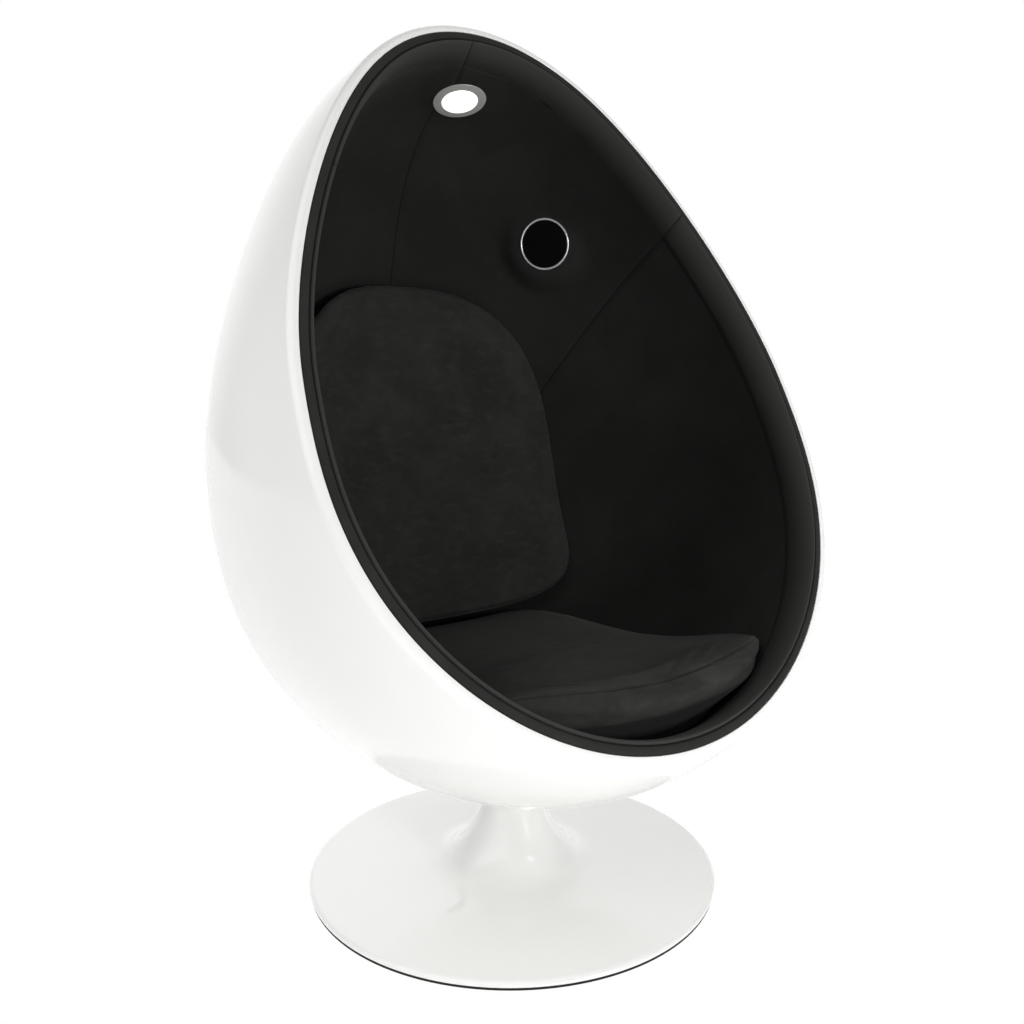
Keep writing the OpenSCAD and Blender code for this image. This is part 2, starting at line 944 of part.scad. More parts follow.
function seat_rings() = concat(
    [for (row = seat_side_shares) seat_ring(seat_heights(row), row[3], row[4], row[5], row[6])],
    [for (q = seat_crown_shares)
        seat_ring([for (a = seat_angles) seat_crown_z(a, q)], seat_front_y, 0, q, corner_share)]);

// Closes a stack of rings with a point at each end.
function stack_faces(count, sides) =
    let (foot = count * sides,
         top = foot + 1)
    concat(
        [for (i = [0:count - 2], k = [0:sides - 1])
            let (a = i * sides + k,
                 b = i * sides + (k + 1) % sides,
                 c = (i + 1) * sides + (k + 1) % sides,
                 d = (i + 1) * sides + k)
            each [[a, d, c], [a, c, b]]],
        [for (k = [0:sides - 1]) [foot, k, (k + 1) % sides]],
        [for (k = [0:sides - 1]) [top, (count - 1) * sides + (k + 1) % sides, (count - 1) * sides + k]]);

module seat_cushion() {
    rings = seat_rings();
    color("#3d3d3c")
        polyhedron(
            points = concat(
                [for (ring = rings) each ring],
                [[0, seat_mid_y, seat_foot_z], [0, seat_mid_y, seat_mid_z]]),
            faces = stack_faces(len(rings), seat_sides));
}

// The back cushion

back_sides = 60;
back_gap = 0.5;
// How square the outline is below its middle, and how pointed above.
outline_low_share = 5;
outline_high_share = 2.4;
back_fall_share = 0.8;
back_in = room_in + back_gap;
seam_in = back_in + back_edge_t;

// Station at which the wall at the back reaches a height, by halving.
function station_at(z, inset, lo, hi, n = 26) =
    n == 0 ? lo
    : lining_point(0, (lo + hi) / 2, inset)[2] < z
        ? station_at(z, inset, (lo + hi) / 2, hi, n - 1)
        : station_at(z, inset, lo, (lo + hi) / 2, n - 1);
back_down = back_wide_s - station_at(seat_back_z + back_clear, back_in, back_in - half_len, 0);

// The outline, drawn in by q, as the egg's [x, s]: the angle b starts at the top.
function back_outline(b, q) =
    let (n = cos(b) > 0 ? outline_high_share : outline_low_share,
         len = cos(b) > 0 ? back_up : back_down,
         r = pow(pow(abs(sin(b)), n) + pow(abs(cos(b)), n), -1 / n))
    [back_half_w * r * sin(b) * q, back_wide_s + len * r * cos(b) * q];

// A point at the back of the pod, drawn in from the skin.
function back_point(xs, inset) =
    let (r = egg_r(xs[1], inset))
    [xs[0], sqrt(max(0, r * r - xs[0] * xs[0])), xs[1]];

function back_ring(q, inset) =
    [for (i = [0:back_sides - 1]) back_point(back_outline(360 * i / back_sides, q), inset)];

function back_crown_in(q) = seam_in + back_crown * pow(1 - q * q, back_fall_share);
// Side rings, from the wall to the seam: how far out each lies, and its share of the edge's thickness.
back_side_shares = [[0.5, 0], [0.94, 0], [0.985, 0.25], [1, 0.6], [0.99, 1]];
back_crown_shares = [0.93, 0.8, 0.6, 0.33];
back_rings = concat(
    [for (row = back_side_shares) back_ring(row[0], back_in + back_edge_t * row[1])],
    [for (q = back_crown_shares) back_ring(q, back_crown_in(q))]);

module back_cushion() {
    color("#464645")
        in_pod()
            polyhedron(
                points = concat(
                    [for (ring = back_rings) each ring],
                    [back_point([0, back_wide_s], back_in), back_point([0, back_wide_s], back_crown_in(0))]),
                faces = stack_faces(len(back_rings), back_sides));
}

// The light

// Where the light sits: its side offset as a share of the room's radius there, and its station as a share of the
// room's half length. Then how far its boss is turned from the wall's own direction, in degrees.
light_side_share = 0.9312;
light_station_share = 0.9976;
light_turn_off = 1.92;
light_pitch_off = 3.68;
// Height of the light's padded boss over the lining, and the boss's margin, depth and spread.
light_rise = 9;
light_boss_w = 4;
light_boss_deep = 27;
light_boss_spread = 40;
light_in = room_in + light_rise;

// A point of the wall in the chair's frame: side x, station s, on the back half.
function lining_point(x, s, inset) = unlean(back_point([x, s], inset)) + egg_mid;
// The way out of the pod, square to the wall, in the chair's frame.
function wall_way(x, s, inset) =
    let (p = back_point([x, s], inset))
    unlean([p[0], p[1], -egg_r(s, inset) * egg_slope(s, inset)]);

// Stands on a boss on the wall, with +Z pointing into the room. The shares give its place, and the angles how far it
// is turned from the wall's own direction.
module on_boss(side_share, station_share, inset, turn_off, pitch_off) {
    s = (half_len - inset) * station_share;
    x = egg_r(s, inset) * side_share;
    way = wall_way(x, s, inset);
    translate(lining_point(x, s, inset))
        rotate([0, 0, -atan2(way[0], way[1]) - turn_off])
            rotate([90 + asin(way[2] / norm(way)) + pitch_off, 0, 0])
                children();
}

module at_light() {
    on_boss(light_side_share, light_station_share, light_in, light_turn_off, light_pitch_off)
        children();
}

light_foot = gap;
can_t = 2;
can_r = light_r - 4.5;
led_board_t = 1.6;
ring_edge_h = 2;
ring_bevel = 3;
diffuser_sink = 1;

module light_boss() {
    translate([0, 0, -light_boss_deep])
        cylinder(r1 = light_r + light_boss_w + light_boss_spread, r2 = light_r + light_boss_w, h = light_boss_deep);
}

module light_bore() {
    translate([0, 0, -can_deep - gap])
        cylinder(r = can_r + gap, h = can_deep * 2);
}

module light_can() {
    color("black")
        at_light()
            difference() {
                translate([0, 0, -can_deep])
                    cylinder(r = can_r, h = can_deep + light_foot);
                translate([0, 0, -can_deep + can_t])
                    cylinder(r = can_r - can_t, h = can_deep + light_foot);
            }
}

module light_board() {
    color("green")
        at_light()
            translate([0, 0, -can_deep + can_t])
                cylinder(r = can_r - can_t - gap, h = led_board_t);
}

module light_diffuser() {
    color("white")
        at_light()
            translate([0, 0, light_foot])
                cylinder(r = diffuser_r, h = light_h - light_foot - diffuser_sink);
}

module light_ring() {
    color("darkgray")
        at_light()
            rotate_extrude()
                polygon([
                    [diffuser_r, light_foot], [light_r, light_foot], [light_r, light_foot + ring_edge_h],
                    [light_r - ring_bevel, light_h], [diffuser_r + ring_edge_h, light_h],
                    [diffuser_r, light_h - diffuser_sink]]);
}

// The speakers: side is 1 for the sitter's left (+X) and -1 for the right

// Place and turn of a speaker's face, as for the light, and the height of its boss over the lining.
speaker_side_share = 0.8935;
speaker_station_share = 0.6841;
speaker_turn_off = -6.67;
speaker_pitch_off = -13.49;
speaker_rise = 15.5;

// Stands at the middle of the speaker's face, with +Z pointing at the listener.
module at_speaker(side) {
    mirror([side > 0 ? 0 : 1, 0, 0])
        on_boss(speaker_side_share, speaker_station_share, room_in + speaker_rise, speaker_turn_off, speaker_pitch_off)
            children();
}

basket_r = speaker_r - 2;
basket_t = 2;
magnet_r = 22;
magnet_h = 12;
ring_h = 3.2;
ring_foot = 0.4;
surround_w = 7;
cone_rise = 12;
dome_r = 12;
paper_t = 1.5;

module speaker_bore() {
    translate([0, 0, -speaker_deep - gap])
        cylinder(r = basket_r + gap, h = speaker_deep + 2 * speaker_rise);
}

module speaker_ring(side) {
    color("silver")
        at_speaker(side)
            rotate_extrude()
                polygon([
                    [speaker_r - speaker_ring_w, ring_foot], [speaker_r, ring_foot], [speaker_r, ring_h / 2],
                    [speaker_r - speaker_ring_w / 3, ring_h], [speaker_r - speaker_ring_w * 2 / 3, ring_h],
                    [speaker_r - speaker_ring_w, ring_h / 2]]);
}

module speaker_grille(side) {
    grille_r = speaker_r - speaker_ring_w - gap;
    color("black")
        at_speaker(side)
            rotate_extrude()
                polygon([[0, ring_h / 3], [grille_r, ring_foot], [grille_r, ring_h / 3], [0, ring_h * 2 / 3]]);
}

// Cone, half-roll surround and dust dome, one moulding.
module speaker_cone(side) {
    outer = basket_r - basket_t - gap;
    color("#202020")
        at_speaker(side)
            rotate_extrude()
                polygon([
                    [0, -cone_rise - 2 * paper_t], [dome_r, -cone_rise - 3 * paper_t],
                    [outer - surround_w, -3 * paper_t], [outer - surround_w / 2, -paper_t],
                    [outer, -2 * paper_t], [outer, -3 * paper_t], [outer - surround_w / 2, -2 * paper_t],
                    [outer - surround_w, -4 * paper_t], [dome_r, -cone_rise - 4 * paper_t],
                    [0, -cone_rise - 3 * paper_t]]);
}

// A dished frame with four windows, from the rim down to the magnet.
module speaker_basket(side) {
    floor_z = magnet_h - speaker_deep;
    shelf_z = -3 * paper_t;
    color("dimgray")
        at_speaker(side)
            difference() {
                rotate_extrude()
                    polygon([
                        [basket_r - basket_t, 0], [basket_r, 0], [basket_r, 2 * shelf_z], [magnet_r, floor_z],
                        [0, floor_z], [0, floor_z + basket_t], [magnet_r - basket_t / 2, floor_z + basket_t],
                        [basket_r - 2 * basket_t, 2 * shelf_z + basket_t / 2], [basket_r - 2 * basket_t, shelf_z],
                        [basket_r - basket_t, shelf_z]]);
                for (i = [0:3])
                    rotate(45 + 90 * i)
                        translate([magnet_r + basket_t, -window_w / 2, floor_z])
                            cube([basket_r - magnet_r - 3 * basket_t, window_w, -floor_z + 2 * shelf_z]);
            }
}
window_w = 16;

module speaker_magnet(side) {
    color("gray")
        at_speaker(side)
            translate([0, 0, -speaker_deep])
                cylinder(r = magnet_r, h = magnet_h);
}

module speaker_left_ring() speaker_ring(1);
module speaker_left_grille() speaker_grille(1);
module speaker_left_cone() speaker_cone(1);
module speaker_left_basket() speaker_basket(1);
module speaker_left_magnet() speaker_magnet(1);
module speaker_right_ring() speaker_ring(-1);
module speaker_right_grille() speaker_grille(-1);
module speaker_right_cone() speaker_cone(-1);
module speaker_right_basket() speaker_basket(-1);
module speaker_right_magnet() speaker_magnet(-1);

base_trumpet();
base_glide();
ballast_plate();
ballast_screws();
post_tube();
upper_bush();
lower_bush();
thrust_washer();
spindle();
retaining_washer();
retaining_screw();
swivel_hub();
flange_bolts();
outer_shell();
inner_wedge();
mount_plate();
flange_nuts();
seat_pillars();
seat_board();
board_screws();
control_box();
power_inlet();
foam_back_left();
foam_back_right();
foam_side_left();
foam_side_right();
lining_back_left();
lining_back_right();
lining_side_left();
lining_side_right();
rim_band();
rim_piping();
rim_roll();
seat_cushion();
back_cushion();
light_can();
light_board();
light_diffuser();
light_ring();
speaker_left_ring();
speaker_left_grille();
speaker_left_cone();
speaker_left_basket();
speaker_left_magnet();
speaker_right_ring();
speaker_right_grille();
speaker_right_cone();
speaker_right_basket();
speaker_right_magnet();
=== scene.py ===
"""Pod chair: an egg-shaped upholstered shell on a trumpet foot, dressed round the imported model.

Shapes are worked out in millimetres in the chair's frame and put into meshes in metres.
The pod's pieces are drawn on an egg of revolution, drawn in by an inset, in the egg's own frame:
x to the sitter's left, y to the back, z along the axis to the slim end at the crown.
"""

import bpy
import numpy as np
from mathutils import Matrix


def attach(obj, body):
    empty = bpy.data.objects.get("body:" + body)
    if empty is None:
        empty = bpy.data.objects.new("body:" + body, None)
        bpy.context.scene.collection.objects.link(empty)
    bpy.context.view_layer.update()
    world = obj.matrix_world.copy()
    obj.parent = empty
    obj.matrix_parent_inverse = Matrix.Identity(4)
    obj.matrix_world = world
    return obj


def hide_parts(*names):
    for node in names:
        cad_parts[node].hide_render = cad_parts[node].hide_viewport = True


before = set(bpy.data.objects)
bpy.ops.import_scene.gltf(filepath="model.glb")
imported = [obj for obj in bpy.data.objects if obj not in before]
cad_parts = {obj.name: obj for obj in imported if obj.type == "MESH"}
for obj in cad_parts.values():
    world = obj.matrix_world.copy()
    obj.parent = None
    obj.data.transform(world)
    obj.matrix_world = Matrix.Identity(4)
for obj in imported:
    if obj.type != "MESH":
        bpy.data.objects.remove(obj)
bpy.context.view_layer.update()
scene = bpy.context.scene

# Sizes, in millimetres and degrees

EGG_HALF = 575.0
EGG_W = 928.0
EGG_LEAN = np.radians(20.3)
EGG_MID = np.array([0.0, -24.0, 744.308])
OPENING_OFF = 159.0
OPENING_TILT = np.radians(5.9)
SHELL_T = 6.0
LIP_W = 11.5
BAND_IN = 12.1
BAND_W = 9.6
PIPING_IN = 22.6
PIPING_D = 2.4
ROLL_IN = 23.7
ROLL_DEEP = 50.0
ROOM_IN = 45.8
LINING_T = 2.4
BOARD_TOP = 318.0
FOOT_R = 333.0
NECK_R = 42.0
NECK_Z = 130.0
EDGE_H = 12.0
DOME_H = 14.0
GLIDE_H = 3.0
POST_R = 30.4
LIFT = 0.3


# The egg

def egg_share(u):
    """Width of the egg as a share at the station u: a superellipse half at each end over a tapering root."""
    power = np.where(u < 0, 2.7, 1.91)
    taper = 1 + u * (0.324 + u * (0.359 + u * (-0.266 - 0.207 * u)))
    return np.sqrt(np.clip(1 - np.abs(u) ** power, 0, None)) / np.sqrt(taper)


EGG_PEAK = egg_share(np.arange(-100, 101) / 100).max()


def egg_radius(s, inset):
    """Radius of the egg, drawn in by an inset, at the station s along its axis."""
    u = np.clip(s / (EGG_HALF - inset), -1, 1)
    return (EGG_W / 2 - inset) / EGG_PEAK * egg_share(u)


def to_chair(p):
    """Leans points of the egg's frame back about X and sets them at the egg's middle."""
    c, s = np.cos(EGG_LEAN), np.sin(EGG_LEAN)
    y, z = p[..., 1], p[..., 2]
    return np.stack([p[..., 0], y * c + z * s, z * c - y * s], -1) + EGG_MID


def to_egg(p):
    """The other way: points of the chair's frame as the egg sees them."""
    c, s = np.cos(EGG_LEAN), np.sin(EGG_LEAN)
    q = p - EGG_MID
    y, z = q[..., 1], q[..., 2]
    return np.stack([q[..., 0], y * c - z * s, y * s + z * c], -1)


def wall_point(x, s, inset):
    """A point on the back half of the drawn-in egg, by its side offset and its station."""
    r = egg_radius(s, inset)
    return to_chair(np.stack(np.broadcast_arrays(x, np.sqrt(np.clip(r * r - x * x, 0, None)), s), -1))


def halve(inside, low, high, steps=40):
    """Arrays of places between low, where inside() is true, and high, where it is false, by halving."""
    for _ in range(steps):
        mid = (low + high) / 2
        ok = inside(mid)
        low = np.where(ok, mid, low)
        high = np.where(ok, high, mid)
    return low


def plane_line(t, depth):
    """Station and forward reach of a point t up the opening plane's middle line, moved back by a depth."""
    off = OPENING_OFF - depth
    return (off * np.sin(OPENING_TILT) + t * np.cos(OPENING_TILT),
            off * np.cos(OPENING_TILT) - t * np.sin(OPENING_TILT))


def deepest(inset):
    """Greatest depth behind the opening plane that the drawn-in egg reaches, and its place up the plane."""
    s = np.linspace(-1, 1, 4001)[:, None] * (EGG_HALF - inset)
    r = egg_radius(s, inset)
    depth = OPENING_OFF - s * np.sin(OPENING_TILT) + r * np.cos(OPENING_TILT)
    best = depth.argmax(0)
    col = np.arange(depth.shape[1])
    t = s * np.cos(OPENING_TILT) + r * np.sin(OPENING_TILT)
    return depth[best, col], t[best, col]


def opening_rings(inset, depth, turns):
    """Rows of points round the opening: each row lies on the drawn-in egg at one depth behind the plane.

    Halving up and down the plane's middle line finds the row's top and foot. A turn goes from the foot by +X
    over the top and back, its height follows a cosine, and its width is what the egg's radius leaves there.
    """
    inset, depth = np.broadcast_arrays(np.atleast_1d(inset).astype(float), np.atleast_1d(depth).astype(float))
    reach, start = deepest(inset)
    depth = np.minimum(depth, reach - 1e-4)

    def inside(t):
        s, f = plane_line(t, depth)
        return (egg_radius(s, inset) > np.abs(f)) & (np.abs(s) < EGG_HALF - inset)

    top = halve(inside, start, np.full_like(start, 700.0))
    foot = halve(inside, start, np.full_like(start, -700.0))
    t = ((top + foot) / 2)[:, None] - ((top - foot) / 2)[:, None] * np.cos(turns)
    s, f = plane_line(t, depth[:, None])
    r = egg_radius(s, inset[:, None])
    x = np.sqrt(np.clip(r * r - f * f, 0, None)) * np.sign(np.round(np.sin(turns), 9))
    return to_chair(np.stack([x, -f, s], -1))


def even_turns(count):
    """Turns round the opening, spread evenly."""
    return np.arange(count) * 2 * np.pi / count


# Meshes

def put_mesh(name, verts, faces, facing=None):
    """A mesh object from points in millimetres and index rows, with its faces turned outwards.

    A closed shape is turned by the sign of its volume, and an open sheet so that most faces look at a point.
    """
    verts = np.asarray(verts, float) / 1000
    faces = np.asarray(faces)
    a, b, c = (verts[faces[:, k]] for k in range(3))
    normal = np.cross(b - a, c - a)
    side = (a * normal).sum() if facing is None else ((np.asarray(facing) / 1000 - a) * normal).sum()
    if faces.shape[1] == 4 and facing is None:
        d = verts[faces[:, 3]]
        side += (a * np.cross(c - a, d - a)).sum()
    if side < 0:
        faces = faces[:, ::-1]
    mesh = bpy.data.meshes.new(name)
    mesh.from_pydata(verts.tolist(), [], [[v for v in f if v >= 0] for f in faces.tolist()])
    mesh.validate()
    mesh.shade_smooth()
    obj = bpy.data.objects.new(name, mesh)
    scene.collection.objects.link(obj)
    return obj


def grid_faces(rows, cols, closed_rows=False):
    """Index rows of four for a grid whose columns close round, and whose rows may close too."""
    i = np.arange(rows if closed_rows else rows - 1)[:, None]
    k = np.arange(cols)[None, :]
    j = (i + 1) % rows
    m = (k + 1) % cols
    return np.stack([i * cols + k, i * cols + m, j * cols + m, j * cols + k], -1).reshape(-1, 4)


def skin(name, rows, closed_rows=False, facing=None, keep=None):
    """A mesh over a grid of rows that each close round; end rows that shrink to a point are merged."""
    count, cols = rows.shape[:2]
    verts = rows.reshape(-1, 3)
    faces = grid_faces(count, cols, closed_rows)
    if keep is not None:
        faces = faces[keep(verts[faces].mean(1))]
    obj = put_mesh(name, verts, faces, facing)
    tidy = obj.modifiers.new("merge", "WELD")
    tidy.merge_threshold = 0.00004
    settle(obj)
    return obj


def settle(obj):
    """Applies what modifiers the piece carries and leaves a plain mesh."""
    graph = bpy.context.evaluated_depsgraph_get()
    mesh = bpy.data.meshes.new_from_object(obj.evaluated_get(graph))
    old = obj.data
    obj.modifiers.clear()
    obj.data = mesh
    bpy.data.meshes.remove(old)
    mesh.name = obj.name
    mesh.shade_smooth()


def turned(profile, steps=128):
    """Rows of points of a profile of [radius, height] turned once round Z."""
    a = np.arange(steps) * 2 * np.pi / steps
    profile = np.asarray(profile, float)
    r, z = profile[:, :1], profile[:, 1:]
    return np.stack([r * np.cos(a), r * np.sin(a), z + 0 * a], -1)


def face_matrix(turn, pitch):
    """Turns +Z to look down by the pitch and across by the turn, as the light and the speakers do."""
    t, p = np.radians(-turn), np.radians(90 + pitch)
    rx = np.array([[1, 0, 0], [0, np.cos(p), -np.sin(p)], [0, np.sin(p), np.cos(p)]])
    rz = np.array([[np.cos(t), -np.sin(t), 0], [np.sin(t), np.cos(t), 0], [0, 0, 1]])
    return rz @ rx


LIGHT_PLACE = wall_point(np.array(23.0), np.array(518.95), np.array(54.8))
LIGHT_FACE = face_matrix(14.5, 71)
SPEAKER_PLACE = wall_point(np.array(226.1), np.array(351.4), np.array(61.3))
SPEAKER_FACE = face_matrix(47, 10)


def at_light(rows):
    """Sets points drawn over the light's boss in the chair's frame."""
    return rows @ LIGHT_FACE.T + LIGHT_PLACE


def at_speaker(rows, side):
    """Sets points drawn over a speaker's face in the chair's frame; side is 1 for +X and -1 for -X."""
    return (rows @ SPEAKER_FACE.T + SPEAKER_PLACE) * np.array([side, 1, 1])


def soft_step(x, low, high):
    """0 below low, 1 above high and an S between."""
    t = np.clip((x - low) / (high - low), 0, 1)
    return t * t * (3 - 2 * t)


def smooth_rows(rows, between):
    """More rows between the given ones, on the curves of Catmull and Rom through them."""
    p = np.concatenate([2 * rows[:1] - rows[1:2], rows, 2 * rows[-1:] - rows[-2:-1]])
    out = []
    for t in np.arange(between) / between:
        a, b, c, d = p[:-3], p[1:-2], p[2:-1], p[3:]
        bend, twist = 2 * a - 5 * b + 4 * c - d, 3 * b - a - 3 * c + d
        out.append(0.5 * (2 * b + (c - a) * t + bend * t ** 2 + twist * t ** 3))
    mixed = np.stack(out, 1).reshape((-1,) + rows.shape[1:])
    return np.concatenate([mixed, rows[-1:]])


# Materials
# Patterns are sized in millimetres: a texture's scale is 1000 over the size of one mark.

def linear(code):
    """An sRGB hex code as linear red, green, blue and alpha."""
    c = np.array([int(code[i:i + 2], 16) for i in (1, 3, 5)]) / 255
    c = np.where(c <= 0.04045, c / 12.92, ((c + 0.055) / 1.055) ** 2.4)
    return (*c.tolist(), 1.0)


def live(part):
    """The socket that a node stands for, which is its first live output, or a socket as it is."""
    if isinstance(part, bpy.types.NodeSocket):
        return part
    return next(out for out in part.outputs if out.enabled)


def add(tree, kind, inputs=None, to=None, **settings):
    """Adds a node with its settings, fills its inputs with values or other nodes, and may link it onwards."""
    node = tree.nodes.new(kind)
    for key, value in settings.items():
        setattr(node, key, value)
    for key, value in (inputs or {}).items():
        if isinstance(value, (bpy.types.Node, bpy.types.NodeSocket)):
            tree.links.new(live(value), node.inputs[key])
        else:
            node.inputs[key].default_value = value
    if to is not None:
        tree.links.new(live(node), to)
    return node


def start_material(name, **surface):
    """A material with its surface shader and the object's own coordinates."""
    mat = bpy.data.materials.new(name)
    mat.use_nodes = True
    tree = mat.node_tree
    tree.nodes.clear()
    out = add(tree, "ShaderNodeOutputMaterial")
    shader = add(tree, "ShaderNodeBsdfPrincipled", surface, to=out.inputs[0])
    place = add(tree, "ShaderNodeTexCoord").outputs["Object"]
    return mat, tree, shader, place


def gel_coat():
    """Glass fibre under a polished white gel coat, sprayed in a mould: hard gloss with a ripple of 111 mm."""
    mat, tree, shader, place = start_material(
        "polished_white_gel_coat", **{
            "Base Color": linear("#F3F3F1"), "IOR": 1.52,
            "Coat Weight": 0.6, "Coat Roughness": 0.04, "Coat IOR": 1.5})
    ripple = add(tree, "ShaderNodeTexNoise", {
        "Vector": place, "Scale": 1000 / 111, "Detail": 2.0, "Roughness": 0.4})
    add(tree, "ShaderNodeBump", {"Strength": 0.05, "Distance": 0.004, "Height": ripple},
        to=shader.inputs["Normal"])
    smear = add(tree, "ShaderNodeTexNoise", {
        "Vector": place, "Scale": 1000 / 333, "Detail": 5.0, "Roughness": 0.6})
    add(tree, "ShaderNodeMapRange", {
        "Value": smear, "From Min": 0.35, "From Max": 0.7, "To Min": 0.09, "To Max": 0.16},
        to=shader.inputs["Roughness"])
    return mat


def cloth_colour(tree, place, base, light, dark, patch, nap):
    """Cloth colour: broad brushed patches and a fine nap, mixed from three shades of one dye.

    The nap's fibres are finer than a pixel, so they are drawn 1.4 to 2 mm across.
    """
    broad = add(tree, "ShaderNodeTexNoise", {
        "Vector": place, "Scale": 1000 / patch, "Detail": 5.0, "Roughness": 0.62, "Distortion": 0.3})
    patchy = add(tree, "ShaderNodeMapRange", {"Value": broad, "From Min": 0.38, "From Max": 0.64})
    shade = add(tree, "ShaderNodeMix", {
        "Factor": patchy, "A": linear(dark), "B": linear(light)}, data_type="RGBA")
    fine = add(tree, "ShaderNodeTexNoise", {
        "Vector": place, "Scale": 1000 / nap, "Detail": 3.0, "Roughness": 0.7})
    spread = add(tree, "ShaderNodeMapRange", {
        "Value": fine, "From Min": 0.3, "From Max": 0.7, "To Min": 0.25, "To Max": 0.95})
    tone = add(tree, "ShaderNodeMix", {"Factor": spread, "A": linear(base), "B": shade}, data_type="RGBA")
    return tone, fine


def plane_gap(tree, place, normal, offset):
    """Signed distance in metres from a plane."""
    along = add(tree, "ShaderNodeVectorMath", {0: place, 1: tuple(normal)}, operation="DOT_PRODUCT")
    return add(tree, "ShaderNodeMath", {0: along, 1: offset}, operation="SUBTRACT")


SIDE_SEAM_WAY = np.array([0.713, -0.199, -0.672])
SIDE_SEAM_OFF = 50.8


def seam_lines(tree, place):
    """Distances in metres from the nearest sewn line, from the roll's tuck, and behind the roll's tail.

    The side seams lie on one slanting plane on each side. The centre seam runs above them, and strays 30 mm
    to the sitter's right as it comes forward over the crown to the trim. The tuck shows below them only.
    """
    part = add(tree, "ShaderNodeSeparateXYZ", {"Vector": place}).outputs
    side_normal = to_chair(SIDE_SEAM_WAY) - EGG_MID
    across = add(tree, "ShaderNodeMath", {0: part[0]}, operation="ABSOLUTE")
    rest = plane_gap(tree, place, (0, *side_normal[1:]), (SIDE_SEAM_OFF + side_normal @ EGG_MID) / 1000)
    under = add(tree, "ShaderNodeMath", {0: across, 1: side_normal[0], 2: rest}, operation="MULTIPLY_ADD")
    side = add(tree, "ShaderNodeMath", {0: under}, operation="ABSOLUTE")
    stray = add(tree, "ShaderNodeMapRange", {
        "Value": part[1], "From Min": 0.02, "From Max": 0.17, "To Min": 0.03, "To Max": 0.0},
        interpolation_type="SMOOTHSTEP")
    strayed = add(tree, "ShaderNodeMath", {0: part[0], 1: stray}, operation="ADD")
    centre = add(tree, "ShaderNodeMath", {0: strayed}, operation="ABSOLUTE")
    rim_normal = to_chair(np.array([0, np.cos(OPENING_TILT), -np.sin(OPENING_TILT)])) - EGG_MID
    depth = plane_gap(tree, place, rim_normal, (rim_normal @ EGG_MID - OPENING_OFF + ROLL_DEEP) / 1000)
    rim = add(tree, "ShaderNodeMath", {0: depth}, operation="ABSOLUTE")
    lines = []
    for line, steep in ((centre, 20.0), (rim, -20.0)):
        past = add(tree, "ShaderNodeMath", {0: under, 1: steep}, operation="MULTIPLY")
        past = add(tree, "ShaderNodeMath", {0: past, 1: 0.0}, operation="MAXIMUM")
        lines.append(add(tree, "ShaderNodeMath", {0: line, 1: past}, operation="ADD"))
    near = add(tree, "ShaderNodeMath", {0: lines[0], 1: side}, operation="MINIMUM")
    return near, lines[1], depth


TUCK_START = np.array([120.3, 84.8, 1225.7])
TUCK_END = np.array([140.2, 79.6, 1214.8])
TUCK_W = 2.0


def tuck_line(tree, place):
    """Distance from the short tuck in the crown, in widths of the tuck: a sphere's, drawn out along it."""
    way, length = TUCK_END - TUCK_START, np.linalg.norm(TUCK_END - TUCK_START)
    middle = tuple((TUCK_START + TUCK_END) / 2000)
    squeeze = (2 * TUCK_W / length) ** 2 - 1
    off = add(tree, "ShaderNodeVectorMath", {0: place, 1: middle}, operation="SUBTRACT")
    along = add(tree, "ShaderNodeVectorMath", {0: off, 1: tuple(way / length)}, operation="DOT_PRODUCT")
    whole = add(tree, "ShaderNodeVectorMath", {0: off, 1: off}, operation="DOT_PRODUCT")
    square = add(tree, "ShaderNodeMath", {0: along, 1: along}, operation="MULTIPLY")
    left = add(tree, "ShaderNodeMath", {0: square, 1: squeeze, 2: whole}, operation="MULTIPLY_ADD")
    left = add(tree, "ShaderNodeMath", {0: left, 1: 0.0}, operation="MAXIMUM")
    root = add(tree, "ShaderNodeMath", {0: left}, operation="SQRT")
    return add(tree, "ShaderNodeMath", {0: root, 1: TUCK_W / 1000}, operation="DIVIDE")


